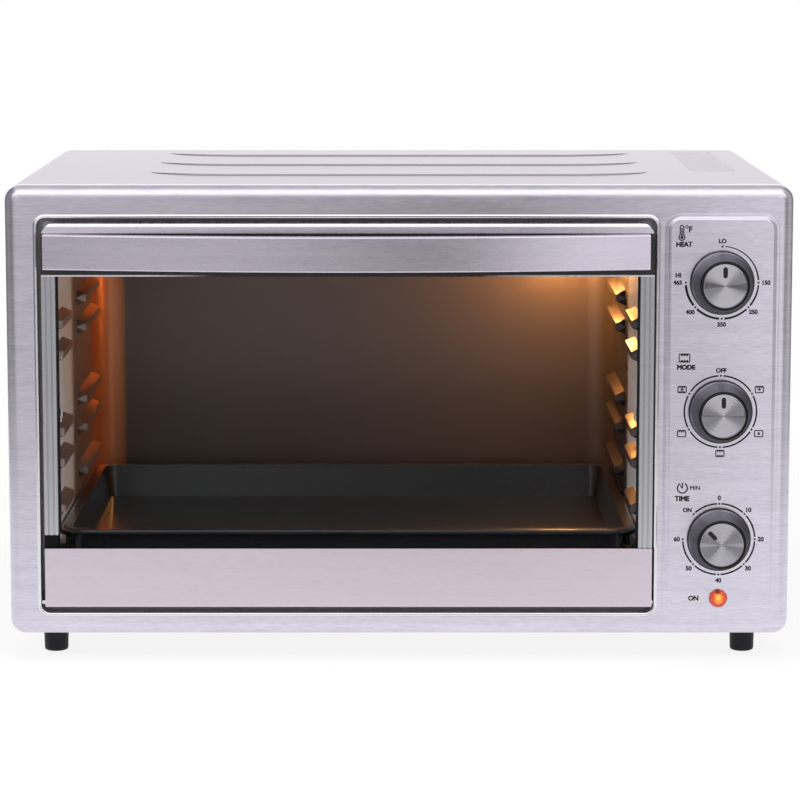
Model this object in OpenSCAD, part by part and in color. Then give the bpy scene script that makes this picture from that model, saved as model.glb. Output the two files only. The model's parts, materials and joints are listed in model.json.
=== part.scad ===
// Countertop convection oven with a drop-down glass door at the front.
// Millimetres. X runs to the right, Y to the back, Z up from the worktop.
// Every piece is drawn with Y = 0 on the fascia's front face; placed() then moves the
// whole part so that its origin lies on the worktop, under the middle of the part.

/* [Housing] */
// Width over the fascia and the side panels
body_w = 550; // [535:1:590]
// Depth from the fascia's front face to the back edge
body_d = 380; // [372:1:420]
// Height of the housing above its feet
body_h = 318; // [312:1:345]
// Height of the feet
foot_h = 20; // [16:1:30]
// Thickness of the steel sheets
sheet = 0.6; // [0.5:0.1:1]
// Radius of the housing's long edges, seen from the front
corner_r = 11; // [9:0.5:14]
// Height of the bent flanges on the top cover and the base plate
cover_flange = 16; // [15:1:30]
// Distance of the raised side fields from the housing's front and back edges
field_inset = 12; // [8:1:30]
// Distance of the raised side fields from the side panels' upper and lower edges
field_margin = 30; // [10:1:60]
// Height of the raised side fields
field_rise = 2.5; // [1:0.5:4]
// Number of vent slots in each column of a side field
side_slots = 9; // [3:1:12]

/* [Fascia] */
// Depth of the fascia's rolled outer edge
fascia_d = 14; // [12:1:18]
// Radius of the fascia's rolled outer edge
edge_r = 8.5; // [4:0.5:9]
// Distance of the door opening from the fascia's left edge
opening_left = 22.4; // [20:0.1:26]
// Width of the fascia's upright between the door opening and the control island
pillar_w = 6.7; // [6.5:0.1:20]
// Distance of the door opening from the fascia's lower edge
opening_bottom = 15.6; // [14:0.1:17]
// Distance of the door opening from the fascia's upper edge
opening_top = 22.4; // [20:0.1:28]
// Corner radius of the door opening
opening_r = 6; // [5:0.25:6.5]
// Radius of the lip around the door opening
lip_r = 2.5; // [1.5:0.25:3]
// Depth of the flange behind that lip
lip_d = 13; // [12.5:0.5:15]

/* [Control island] */
// Width of the raised control island
island_w = 77.4; // [70:0.1:80]
// Distance of the island from the fascia's right edge
island_right = 11.3; // [11:0.1:14]
// Distance of the island from the fascia's lower edge
island_bottom = 9.6; // [9.2:0.2:16]
// Distance of the island from the fascia's upper edge
island_top = 20.7; // [16:0.1:26]
// Corner radius of the island
island_r = 10; // [8:0.5:12]
// Height of the island above the fascia
island_rise = 2; // [1:0.25:3]
// Width of the island's sloping edge
island_slope = 4; // [2:0.1:5]

/* [Controls] */
// Distance of the upper knob below the island's upper edge
knob_top = 46.8; // [40:0.1:55]
// Radius of a knob at the panel
knob_r = 22.4; // [20:0.2:24]
// Radius of a knob's metal cap
cap_r = 15.6; // [12:0.2:16.5]
// Height of a knob above the gap at the panel
knob_h = 22.4; // [18:0.2:25]
// Gap between a knob and the panel
knob_gap = 1; // [0.6:0.1:2]
// Radius of the control shafts
shaft_r = 3; // [2.5:0.1:3.5]
// Running clearance around the shafts and pins
run_fit = 0.05; // [0.03:0.01:0.08]
// Rest angle of the timer knob, to the left of straight up
timer_rest = 45; // [0:5:60]
// Height of the power lamp above the island's lower edge
lamp_up = 17.2; // [12:0.1:18]
// Distance of the power lamp below the lowest knob
lamp_drop = 42.3; // [36:0.1:50]
// Radius of the power lamp's lens
lamp_r = 6.8; // [5:0.2:8]
// Width, height and depth of the thermostat's body
thermostat_size = [44, 40, 26];
// Width, height and depth of the function switch's body
switch_size = [46, 46, 32];
// Width, height and depth of the timer's body
timer_size = [52, 52, 44];
// Width of the pointer groove in a knob's cap
pointer_w = 3.2; // [2:0.1:4]
// Length of the pointer groove
pointer_l = 7.8; // [5:0.1:9]
// Distance of the pointer groove from the cap's edge
pointer_in = 2.4; // [1:0.1:4]

/* [Oven cavity] */
// Distance of the side liners inside the door opening
cavity_inset = 8.3; // [8:0.1:12]
// Height of the cavity's floor above the opening's lower edge
cavity_floor = 14.4; // [14:0.1:18]
// Distance of the cavity's ceiling below the opening's upper edge
cavity_drop = 13.6; // [12:0.1:20]
// Space between the back liner and the housing's back edge
cavity_back = 35; // [30:1:45]
// Radius of the cavity's upright corners at the back
cavity_r = 20; // [14:1:26]
// Heights of the two lower rack levels above the cavity's floor
rack_levels = [45, 100];
// Distance of the upper rack level below the cavity's ceiling
rack_top = 75; // [70:1:82]
// Clear height of the groove between two rack guides
rack_slot = 10; // [8:0.5:12]
// Height of one rack guide
guide_h = 12; // [10:0.5:14]
// Distance the rack guides stand out from the side liners
guide_rise = 7; // [5:0.5:8]
// Radius of the heater tubes
heater_r = 4; // [3:0.25:4.5]
// Distances of the heaters behind the cavity's front
heater_y = [102, 222];
// Height of the lower heaters above the floor
heater_up = 10; // [9.5:0.5:11]
// Distance of the upper heaters below the ceiling
heater_down = 14; // [8:1:20]
// Depth of the baking tray
tray_depth = 25; // [18:1:26]
// Thickness of the baking tray's sheet
tray_t = 0.8; // [0.6:0.1:1.2]
// Height of the crumb tray's rim
crumb_h = 4.5; // [3:0.5:5]

/* [Fan and lamp] */
// Distance of the fan's axis behind the cavity's front
fan_y = 132; // [125:1:140]
// Height of the fan's axis above the cavity's floor
fan_up = 150; // [120:1:160]
// Radius of the fan wheel
fan_r = 46; // [36:1:50]
// Number of fan blades
fan_blades = 8; // [5:1:10]
// Radius of the fan wheel's hub
hub_r = 9; // [7:0.5:12]
// Depth of the fan wheel
wheel_d = 14; // [10:0.5:15]
// Distance of the oven lamp in front of the side liners' rear edges
bulb_back = 34; // [26:1:55]
// Distance of the oven lamp below the ceiling
bulb_down = 32; // [28:1:34]
// Radius of the oven lamp's lens
bulb_r = 15; // [12:0.5:17]

/* [Door] */
// Gap between the door and the opening on the left
gap_left = 3; // [2:0.1:5]
// Gap between the door and the opening on the right
gap_right = 1.4; // [1.4:0.1:5]
// Gap above the door
gap_top = 3.2; // [2.5:0.1:7]
// Gap below the door
gap_bottom = 4.3; // [4.2:0.1:8]
// Thickness of the door's frame
door_t = 10; // [9:0.25:10.5]
// Thickness of the glass pane
glass_t = 4; // [3:0.25:5]
// Height of the top rail
rail_h = 37.9; // [34:0.1:42]
// Height of the bottom strip
strip_h = 42.2; // [36:0.1:46]
// Width of the side channels
channel_w = 9.7; // [8:0.1:12]
// Part of the left hinge block that shows above the bottom strip
block_show = 9.5; // [2:0.5:14]
// Distance of the hinge pins behind the fascia's front face
pin_y = 3.4; // [3.2:0.1:3.6]
// Height of the hinge pins above the door's lower edge
pin_up = 3; // [2.8:0.1:3.4]
// Radius of the hinge pins
pin_r = 1.75; // [1.4:0.05:1.8]
// Height of the rack hooks above the door's lower edge
hook_up = 132; // [100:1:160]

/* [Handle] */
// Height of the handle bar
handle_h = 24.7; // [20:0.1:28]
// Thickness of the handle bar
handle_t = 8; // [6:0.5:10]
// Distance of the handle's left end from the door's side
handle_left = 2; // [1:0.1:20]
// Distance of the handle's right end from the door's side
handle_right = 3.6; // [1:0.1:20]
// Distance of the handle's middle below the middle of the top rail
handle_drop = 1.3; // [0:0.1:3]
// Forward bow of the handle between its ends and its middle
handle_bow = 20; // [14:1:24]

/* [Top cover] */
// Width of the pressed arc steps, seen from above
arc_w = 357; // [300:1:380]
// Length of an arc step's rounded ends across the cover
arc_end = 55; // [30:1:80]
// Length of an arc step's rounded ends along the cover
arc_turn = 38; // [20:1:40]
// Length of an arc step from its front edge to where it fades out
arc_run = 45; // [42:1:48]
// Height of an arc step
arc_rise = 0.9; // [0.6:0.1:2]
// Distance of the first arc step behind the fascia's front face
arc_first = 96; // [70:1:105]
// Distance between two arc steps
arc_pitch = 105; // [90:1:108]
// Width of the slot field
slot_field_w = 33; // [24:1:36]
// Distance of the slot field from the right side
slot_field_right = 27; // [20:1:30]
// Number of slots in the field
top_slots = 32; // [12:1:34]

/* [Back and base] */
// Distance the cord inlet stands out from the back
inlet_out = 6; // [3:0.5:12]
// Radius of the feet at the top
foot_r = 9; // [7:0.5:12]
// Distance of the feet from the housing's sides
foot_side = 28; // [20:1:40]
// Distance of the feet from the housing's front and back
foot_end = 45; // [30:1:60]
// Radius of the screws in the back panel and the base plate
screw_r = 1.5; // [1:0.25:2]
// Radius of those screws' heads
screw_head_r = 3.5; // [3:0.25:4.5]
// Height of those screws' heads
screw_head_h = 2; // [1.5:0.1:2.5]
// Distance of the base screws from the housing's sides
base_screw_side = 61; // [50:1:80]
// Distance of the back screws from the housing's sides
back_screw_side = 20; // [16:1:40]
// Distance of both rows of screws from the edges beside them
screw_edge = 22; // [16:1:30]

/* [Part choice] */
// Sub-part to draw, or all of them

/* [Hidden] */
$fn = 64;
fit = 0.2;
eps = 0.05;
x_l = -body_w / 2;
x_r = body_w / 2;
z_b = foot_h;
z_t = foot_h + body_h;
z_m = foot_h + body_h / 2;
opening_w = body_w - opening_left - pillar_w - island_w - island_right;
opening_h = body_h - opening_bottom - opening_top;
island_h = body_h - island_bottom - island_top;
open_x0 = x_l + opening_left;
open_x1 = open_x0 + opening_w;
open_xm = (open_x0 + open_x1) / 2;
open_z0 = z_b + opening_bottom;
open_z1 = open_z0 + opening_h;
open_zm = (open_z0 + open_z1) / 2;
island_x = x_r - island_right - island_w / 2;
island_z = z_b + island_bottom + island_h / 2;
panel_y = -island_rise;
back_y = panel_y + sheet;
lamp_z = z_b + island_bottom + lamp_up;
cav_x0 = open_x0 + cavity_inset;
cav_x1 = open_x1 - cavity_inset;
cav_xm = (cav_x0 + cav_x1) / 2;
cav_y0 = lip_d;
cav_y1 = body_d - cavity_back;
cav_z0 = open_z0 + cavity_floor;
cav_z1 = open_z1 - cavity_drop;
wall_y1 = cav_y1 - cavity_r - 2;
flange_x0 = open_x0 - 11;
flange_x1 = open_x1 + 7;
heat_lo = cav_z0 + heater_up;
heat_hi = cav_z1 - heater_down;
bush_r = heater_r + 2;
fan_cy = cav_y0 + fan_y;
fan_cz = cav_z0 + fan_up;
shroud_d = 22;
shroud_r = fan_r + 12;
bulb_cy = wall_y1 - bulb_back;
bulb_cz = cav_z1 - bulb_down;
levels = concat(rack_levels, cav_z1 - cav_z0 - rack_top);
guide_front = [9, fan_y - 50];
guide_rear = [fan_y + 50, wall_y1 - cav_y0 - 5];
tray_y0 = cav_y0 + 8;
tray_y1 = wall_y1 - 2;
tray_bead = 1.6;
guide_slope = 3.5;
guide_lean = atan(guide_slope / (guide_rise + sheet / 2));
tray_side = 2.5;
tray_x0 = cav_x0 + tray_side;
tray_x1 = cav_x1 - tray_side;
ledge_drop = (tray_side + tray_bead + sheet / 2) * tan(guide_lean);
bead_lift = (tray_bead + 0.25) / cos(guide_lean);
tray_z = cav_z0 + rack_levels[0] - rack_slot / 2 - ledge_drop + bead_lift + tray_bead;
tray_r = 18;
rim_in = 7.5;
wall_lean = 4.5;
door_x0 = open_x0 + gap_left;
door_x1 = open_x1 - gap_right;
door_xm = (door_x0 + door_x1) / 2;
door_w = door_x1 - door_x0;
door_z0 = open_z0 + gap_bottom;
door_z1 = open_z1 - gap_top;
rail_z0 = door_z1 - rail_h;
strip_z1 = door_z0 + strip_h;
strip_out = 1.2;
strip_r = 1.6;
block_cut = strip_r - sheet;
pin_z = door_z0 + pin_up;
glass_y = (door_t - glass_t) / 2;
glass_z0 = door_z0 + 7;
glass_z1 = rail_z0 + 9;
slot_fit = 0.3;
edge_in = 1.5;
block_w = 18;
bracket_t = 6;
handle_z = rail_z0 + rail_h / 2 - handle_drop;
handle_x0 = door_x0 + handle_left;
handle_x1 = door_x1 - handle_right;
handle_xm = (handle_x0 + handle_x1) / 2;
handle_half = (handle_x1 - handle_x0) / 2;
handle_R = (handle_half * handle_half + handle_bow * handle_bow) / (2 * handle_bow);
handle_y = -handle_t - handle_bow;
post_w = 16;
post_x = 10;
neck_r = shaft_r + 1.8;
neck_out = 4;
nut_h = 2.5;
knob_z1 = z_t - island_top - knob_top;
knob_pitch = (knob_z1 - lamp_z - lamp_drop) / 2;
knob_xz = [for (k = [0 : 2]) [island_x, knob_z1 - k * knob_pitch]];
y_mid = (body_d + inlet_out + handle_y) / 2;
foot_x = x_r - foot_side;
foot_pos = [for (x = [-foot_x, foot_x]) for (y = [foot_end, body_d - foot_end]) [x, y]];
base_screw_x = x_r - base_screw_side;
base_screw_pos = [for (x = [-base_screw_x, base_screw_x]) for (y = [screw_edge, body_d - screw_edge]) [x, y]];
back_screw_x = x_r - back_screw_side;
back_screw_z = body_h / 2 - screw_edge;
back_screw_pos = [for (x = [-1, 0, 1]) for (z = [-1, 1]) [x * back_screw_x, z_m + z * back_screw_z]];

// Moves a drawn piece into the shared frame
module placed() translate([0, -y_mid, 0]) children();

// Turns a front view, drawn in X and Z, so that its height runs to the back
module upright() rotate([90, 0, 0]) mirror([0, 0, 1]) children();

// Turns a side view, drawn in Y and Z, so that its height runs to the right
module sideways() rotate([90, 0, 90]) children();

// Turns a piece so that its height runs out of the panel
module facing() rotate([90, 0, 0]) children();

// Bar along X
module bar_x(r, x0, x1) translate([x0, 0, 0]) rotate([0, 90, 0]) cylinder(r = r, h = x1 - x0);

// Bar along Y
module bar_y(r, y0, y1) translate([0, y0, 0]) rotate([-90, 0, 0]) cylinder(r = r, h = y1 - y0);

// Box between two corners
module box(a, b) translate(a) cube([b[0] - a[0], b[1] - a[1], b[2] - a[2]]);

// Copy on the other side of the cavity's middle plane
module cavity_mirror() translate([2 * cav_xm, 0, 0]) mirror([1, 0, 0]) children();

// Copy on the other side of the door's middle plane
module door_mirror() translate([2 * door_xm, 0, 0]) mirror([1, 0, 0]) children();

// Flat rectangle with round corners
module rrect(w, h, r) {
    square([w - 2 * r, h], center = true);
    square([w, h - 2 * r], center = true);
    for (x = [-1, 1])
        for (y = [-1, 1])
            translate([x * (w / 2 - r), y * (h / 2 - r)])
                circle(r);
}

// Section of a sheet that runs in along Y = 0 and bends back at X = 0
module bend(r, run, flat) {
    translate([-r - flat, 0])
        square([flat, sheet]);
    translate([-r, r])
        intersection() {
            difference() {
                circle(r);
                circle(r - sheet);
            }
            translate([0, -r])
                square([r, r]);
        }
    translate([-sheet, r])
        square([sheet, run - r]);
}

// Carries a section around a rectangle with round corners
module around(w, h, r) {
    for (m = [0, 1]) {
        mirror([m, 0, 0])
            translate([w / 2, 0, 0])
                rotate([90, 0, 0])
                    linear_extrude(h - 2 * r, center = true)
                        children();
        mirror([0, m, 0])
            translate([0, h / 2, 0])
                rotate([0, 0, 90])
                    rotate([90, 0, 0])
                        linear_extrude(w - 2 * r, center = true)
                            children();
        for (n = [0, 1])
            mirror([m, 0, 0])
                mirror([0, n, 0])
                    translate([w / 2 - r, h / 2 - r, 0])
                        rotate_extrude(angle = 90)
                            translate([r, 0])
                                children();
    }
}

// Row of equal slots along Y, cut through whatever lies in it
module slot_row(n, from, to, length, width, depth) {
    pitch = (to - from) / n;
    for (i = [0 : n - 1])
        translate([-length / 2, from + (i + 0.5) * pitch - width / 2, -depth / 2])
            cube([length, width, depth]);
}

// Section of the top cover: flat top with a bent flange on both sides
module cover_section() {
    translate([-body_w / 2 + corner_r, 0])
        square([body_w - 2 * corner_r, sheet]);
    for (m = [0, 1])
        mirror([m, 0])
            translate([body_w / 2, 0])
                bend(corner_r, cover_flange, 1);
}

// Sloping edge of the control island
module island_edge() {
    polygon([
        [1, 0],
        [0, 0],
        [-island_slope, -island_rise],
        [-island_slope - 1, -island_rise],
        [-island_slope - 1, sheet - island_rise],
        [-island_slope, sheet - island_rise],
        [0, sheet],
        [1, sheet]
    ]);
}

// Pressed front with rolled edges, door opening and raised control island
module fascia() color([0.75, 0.74, 0.76]) {
    difference() {
        union() {
            translate([0, 0, z_m])
                upright()
                    around(body_w, body_h, corner_r)
                        bend(edge_r, fascia_d, 1);
            translate([open_xm, 0, open_zm])
                upright()
                    around(opening_w, opening_h, opening_r)
                        mirror([1, 0])
                            bend(lip_r, lip_d, 1);
            translate([island_x, 0, island_z])
                upright()
                    around(island_w, island_h, island_r)
                        island_edge();
            upright()
                linear_extrude(sheet)
                    fascia_face();
            translate([island_x, panel_y, island_z])
                upright()
                    linear_extrude(sheet)
                        rrect(
                            island_w - 2 * island_slope,
                            island_h - 2 * island_slope,
                            island_r - island_slope
                        );
        }
        for (p = knob_xz)
            translate([p[0], 0, p[1]])
                bar_y(neck_r + fit, panel_y - 1, 1);
        translate([island_x, 0, lamp_z])
            bar_y(lamp_r - 1.2 + fit, panel_y - 1, 1);
        for (x = [open_x0, open_x1])
            translate([x, pin_y, pin_z])
                bar_x(pin_r + 0.6, -2, 2);
    }
}

// Flat part of the fascia between the bends
module fascia_face() difference() {
    translate([0, z_m])
        rrect(body_w - 2 * edge_r, body_h - 2 * edge_r, corner_r - edge_r);
    translate([open_xm, open_zm])
        rrect(opening_w + 2 * lip_r, opening_h + 2 * lip_r, opening_r + lip_r);
    translate([island_x, island_z])
        rrect(island_w, island_h, island_r);
}

// Outline of an arc step: a straight front edge with rounded ends
module arc_outline() hull() {
    for (s = [-1, 1])
        translate([s * (arc_w / 2 - arc_end), arc_turn])
            scale([arc_end / arc_turn, 1])
                circle(arc_turn, $fn = 128);
    translate([-arc_w / 2, arc_turn])
        square([arc_w, arc_run - arc_turn + 2]);
}

// Arc step pressed into the top cover, highest at its front edge
module arc_step(y0) intersection() {
    translate([0, y0, z_t - sheet / 2])
        linear_extrude(sheet / 2 + arc_rise)
            arc_outline();
    translate([0, y0, z_t + arc_rise])
        rotate([-atan(arc_rise / arc_run), 0, 0])
            translate([-body_w / 2, -5, -10])
                cube([body_w, arc_run + 5, 10]);
}

// Top cover with three arc steps and a slot field above the controls
module top_cover() color([0.72, 0.72, 0.73]) {
    difference() {
        union() {
            translate([0, fascia_d, z_t])
                upright()
                    linear_extrude(body_d - fascia_d)
                        mirror([0, 1])
                            cover_section();
            for (k = [0 : 2])
                arc_step(arc_first + k * arc_pitch);
        }
        translate([x_r - slot_field_right - slot_field_w / 2, 0, z_t])
            slot_row(top_slots, 135, body_d - 19, slot_field_w, 3, 4);
    }
}

// Side panel with a raised field and vent slots
module right_side_panel() color([0.7, 0.7, 0.71]) {
    panel_l = body_d - fascia_d;
    panel_h = body_h - 2 * cover_flange;
    field_l = panel_l - 2 * field_inset;
    field_h = panel_h - 2 * field_margin;
    translate([x_r - sheet, fascia_d + panel_l / 2, z_m])
        sideways()
            difference() {
                union() {
                    translate([0, 0, sheet / 2])
                        cube([panel_l, panel_h, sheet], center = true);
                    translate([0, 0, sheet / 2])
                        raised_field(field_l, field_h, sheet / 2 + field_rise);
                }
                translate([0, 0, -sheet / 2])
                    raised_field(field_l - 2 * sheet, field_h - 2 * sheet, sheet / 2 + field_rise);
                for (x = [-1, 1])
                    translate([x * field_l / 5, 0, field_rise])
                        slot_row(side_slots, -field_h / 3, field_h / 3, field_l / 4, 3, 6);
            }
}

// Outline of a pressing: wide at the sheet, narrower at its top
module pressing(w, slope, rise) {
    polygon([[-w / 2, 0], [w / 2, 0], [w / 2 - slope, rise], [-w / 2 + slope, rise]]);
}

// Flat-topped field with sloping edges
module raised_field(l, h, rise) {
    intersection() {
        rotate([90, 0, 0])
            linear_extrude(h, center = true)
                pressing(l, guide_slope, rise);
        rotate([90, 0, 90])
            linear_extrude(l, center = true)
                pressing(h, guide_slope, rise);
    }
}

// The left side panel mirrors the right one
module left_side_panel() mirror([1, 0, 0]) right_side_panel();

// Back panel: shallow pan inside the cover, with vents and the cord hole
module back_panel() color([0.62, 0.62, 0.63]) {
    w = body_w - 2 * sheet - 2 * fit;
    h = body_h - 2 * sheet - 2 * fit;
    r = corner_r - sheet - fit;
    difference() {
        translate([0, body_d, z_m])
            upright()
                union() {
                    translate([0, 0, -sheet])
                        linear_extrude(sheet)
                            rrect(w, h, r);
                    translate([0, 0, -9])
                        linear_extrude(9)
                            difference() {
                                rrect(w, h, r);
                                rrect(w - 2 * sheet, h - 2 * sheet, r - sheet);
                            }
                }
        translate([inlet_x(), 0, inlet_z()])
            bar_y(7 + fit, body_d - 5, body_d + 5);
        for (p = back_screw_pos)
            translate([p[0], 0, p[1]])
                bar_y(screw_r + fit, body_d - 5, body_d + 5);
        for (x = [-1, 1])
            translate([x * body_w / 4, body_d, z_t - 80])
                rotate([90, 0, 0])
                    slot_row(8, -50, 50, 110, 3, 8);
    }
}

// Place of the cord inlet on the back panel
function inlet_x() = x_r - 45;
function inlet_z() = z_b + 42;

// Bush in the cord hole, with the cord left out
module cord_inlet() color([0.08, 0.08, 0.08]) {
    translate([inlet_x(), body_d, inlet_z()])
        difference() {
            union() {
                bar_y(11, 0, inlet_out);
                bar_y(7, -sheet - 4, 0.5);
            }
            bar_y(4, -sheet - 10, inlet_out + 1);
        }
}

// Pan-head screws that hold the back panel
module back_screws() color([0.6, 0.6, 0.6]) {
    for (p = back_screw_pos)
        translate([p[0], body_d, p[1]])
            difference() {
                union() {
                    bar_y(screw_head_r, 0, screw_head_h);
                    bar_y(screw_r, -12, 0.5);
                }
                for (turn = [0, 90])
                    translate([0, screw_head_h, 0])
                        rotate([0, turn, 0])
                            cube([0.8, screw_head_h, 1.3 * screw_head_r], center = true);
            }
}

// Base plate with bent flanges, vents and holes for the feet
module base_plate() color([0.6, 0.6, 0.61]) {
    difference() {
        translate([0, fascia_d, z_b])
            upright()
                linear_extrude(body_d - fascia_d)
                    cover_section();
        for (p = foot_pos)
            translate([p[0], p[1], z_b - 1])
                cylinder(r = 4 + fit, h = 4);
        for (p = base_screw_pos)
            translate([p[0], p[1], z_b - 1])
                cylinder(r = screw_r + fit, h = 4);
        for (x = [-1, 1])
            translate([x * body_w / 5, body_d / 2, z_b])
                slot_row(12, -70, 70, 90, 3, 4);
    }
}

// Four feet, each held by a spigot through the base plate
module feet() color([0.07, 0.07, 0.07]) {
    for (p = foot_pos)
        translate([p[0], p[1], 0]) {
            rotate_extrude()
                polygon([
                    [0, 0],
                    [foot_r - 2.2, 0],
                    [foot_r - 0.9, 0.6],
                    [foot_r - 0.5, 2],
                    [foot_r, foot_h],
                    [0, foot_h]
                ]);
            translate([0, 0, foot_h - 1])
                cylinder(r = 4, h = sheet + 4);
        }
}

// Pan-head screws under the base plate
module base_screws() color([0.6, 0.6, 0.6]) {
    for (p = base_screw_pos)
        translate([p[0], p[1], z_b]) {
            translate([0, 0, -screw_head_h])
                cylinder(r = screw_head_r, h = screw_head_h);
            translate([0, 0, -0.5])
                cylinder(r = screw_r, h = 9);
        }
}

// Hexagonal outline of a pressed rack guide, grown by g
module guide_outline(l, g) {
    h = guide_h / 2 + g;
    e = l / 2 + g;
    polygon([[-e, 0], [-e + h, h], [e - h, h], [e, 0], [e - h, -h], [-e + h, -h]]);
}

// Pressed rack guide, solid; the liner takes a smaller one away from behind
module guide_form(l, g, rise) {
    intersection() {
        linear_extrude(rise)
            guide_outline(l, g);
        raised_field(l + 2 * g, guide_h + 2 * g, rise);
    }
}

// Every rack guide of one side liner
module guides(g, rise) {
    for (lev = levels)
        for (s = [-1, 1])
            for (run = [guide_front, guide_rear])
                translate([
                    cav_y0 + (run[0] + run[1]) / 2,
                    cav_z0 + lev + s * (rack_slot + guide_h) / 2,
                    0
                ])
                    guide_form(run[1] - run[0], g, rise);
}

// Side liner of the cavity with pressed rack guides and heater holes
module side_liner() {
    difference() {
        union() {
            box([cav_x0 - sheet, cav_y0, cav_z0], [cav_x0, wall_y1, cav_z1]);
            box([flange_x0, cav_y0, cav_z0], [cav_x0, cav_y0 + sheet, cav_z1]);
            translate([cav_x0 - sheet / 2, 0, 0])
                sideways()
                    guides(0, sheet / 2 + guide_rise);
        }
        translate([cav_x0 - sheet - eps, 0, 0])
            sideways()
                guides(-sheet, guide_rise + eps);
        for (y = heater_y)
            for (z = [heat_lo, heat_hi])
                translate([cav_x0, cav_y0 + y, z])
                    bar_x(bush_r + fit, -2, 2);
    }
}

// Left side liner
module left_liner() color([0.55, 0.57, 0.6]) side_liner();

// Right side liner, pierced in front of the fan and for the lamp
module right_liner() color([0.55, 0.57, 0.6]) {
    difference() {
        union() {
            cavity_mirror()
                side_liner();
            box([cav_x1, cav_y0, cav_z0], [flange_x1, cav_y0 + sheet, cav_z1]);
        }
        box([flange_x1, cav_y0 - 1, cav_z0 - 1], [flange_x1 + 20, cav_y0 + 2, cav_z1 + 1]);
        for (k = [0 : 3])
            for (i = [0 : max(1, 6 * k) - 1])
                translate([cav_x1, fan_cy, fan_cz])
                    rotate([i * 360 / max(1, 6 * k), 0, 0])
                        translate([0, k * 11.5, 0])
                            bar_x(3.4, -2, 3);
        translate([cav_x1, bulb_cy, bulb_cz])
            bar_x(bulb_r - 1, -2, 3);
    }
}

// Back liner with round upright corners
module back_liner() color([0.5, 0.5, 0.51]) {
    r = cavity_r + sheet;
    w = cav_x1 - cav_x0 + 2 * sheet;
    translate([cav_xm, cav_y1 + sheet, cav_z0])
        linear_extrude(cav_z1 - cav_z0)
            mirror([0, 1]) {
                translate([-w / 2 + r, 0])
                    square([w - 2 * r, sheet]);
                for (m = [0, 1])
                    mirror([m, 0])
                        translate([w / 2, 0])
                            bend(r, r + 2, 1);
            }
}

// Ceiling of the cavity with an upright front flange
module ceiling_liner() color([0.5, 0.5, 0.51]) {
    box([cav_x0 - sheet, cav_y0, cav_z1], [cav_x1 + sheet, cav_y1 + sheet, cav_z1 + sheet]);
    box([flange_x0, cav_y0, cav_z1], [flange_x1, cav_y0 + sheet, open_z1 + 8]);
}

// Floor of the cavity with a hanging front flange
module floor_liner() color([0.5, 0.5, 0.51]) {
    box([cav_x0 - sheet, cav_y0, cav_z0 - sheet], [cav_x1 + sheet, cav_y1 + sheet, cav_z0]);
    box([flange_x0, cav_y0, open_z0 - 4], [flange_x1, cav_y0 + sheet, cav_z0]);
}

// Sheathed heater rod with a terminal pin at each end
module heater(y, z) color([0.35, 0.34, 0.33]) {
    translate([0, cav_y0 + y, z]) {
        bar_x(heater_r, cav_x0 - 12, cav_x1 + 12);
        bar_x(heater_r / 3, cav_x0 - 18, cav_x1 + 18);
    }
}

module upper_heater_front() heater(heater_y[0], heat_hi);
module upper_heater_rear() heater(heater_y[1], heat_hi);
module lower_heater_front() heater(heater_y[0], heat_lo);
module lower_heater_rear() heater(heater_y[1], heat_lo);

// Ceramic bush around a heater where it passes through the left liner
module insulator() difference() {
    union() {
        bar_x(bush_r, -sheet - 4, 0.5);
        bar_x(bush_r + 2.5, -sheet - 4, -sheet);
    }
    bar_x(heater_r + 2 * run_fit, -20, 20);
}

// The eight ceramic bushes
module heater_insulators() color([0.9, 0.88, 0.82]) {
    for (y = heater_y)
        for (z = [heat_lo, heat_hi]) {
            translate([cav_x0, cav_y0 + y, z])
                insulator();
            cavity_mirror()
                translate([cav_x0, cav_y0 + y, z])
                    insulator();
        }
}

// Flat crumb tray on the cavity's floor
module crumb_tray() color([0.6, 0.6, 0.6]) {
    a = [cav_x0 + 3, cav_y0 + 3, cav_z0];
    b = [cav_x1 - 3, wall_y1 - 4, cav_z0 + crumb_h];
    difference() {
        box(a, b);
        box(a + [sheet, sheet, sheet], b + [-sheet, -sheet, 1]);
    }
}

// Baking tray: rolled rim on the lowest guides, leaning walls and a flat bottom
module baking_tray() color([0.05, 0.05, 0.055]) {
    w = tray_x1 - tray_x0;
    d = tray_y1 - tray_y0;
    foot = rim_in + wall_lean;
    translate([(tray_x0 + tray_x1) / 2, (tray_y0 + tray_y1) / 2, tray_z]) {
        around(w, d, tray_r) {
            union() {
                translate([-tray_bead, -tray_bead])
                    circle(tray_bead);
                translate([-rim_in - tray_t, -tray_t])
                    square([rim_in + tray_t - tray_bead, tray_t]);
                polygon([
                    [-rim_in, 0],
                    [-rim_in - tray_t, 0],
                    [-foot - tray_t, -tray_depth],
                    [-foot, -tray_depth]
                ]);
            }
        }
        translate([0, 0, -tray_depth])
            linear_extrude(tray_t)
                rrect(w - 2 * foot, d - 2 * foot, tray_r - foot);
    }
}

// Glass cover over the oven lamp, on the inside of the right liner
module lamp_lens() color([1, 0.85, 0.6]) {
    translate([cav_x1, bulb_cy, bulb_cz])
        rotate([0, -90, 0])
            rotate_extrude()
                difference() {
                    polygon([
                        [0, 0],
                        [bulb_r + 3, 0],
                        [bulb_r + 3, 2],
                        [bulb_r, 2],
                        [bulb_r - 1.5, 8],
                        [bulb_r - 5, 11],
                        [0, 11.8]
                    ]);
                    polygon([
                        [0, -1],
                        [bulb_r - 2, -1],
                        [bulb_r - 3.4, 7.2],
                        [bulb_r - 6, 9.3],
                        [0, 10]
                    ]);
                }
}

// Bulb of the oven lamp
module lamp_bulb() color([1, 0.95, 0.85]) {
    translate([cav_x1, bulb_cy, bulb_cz]) {
        bar_x(5, -2, 14);
        translate([-2, 0, 0])
            sphere(r = 5);
    }
}

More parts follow.
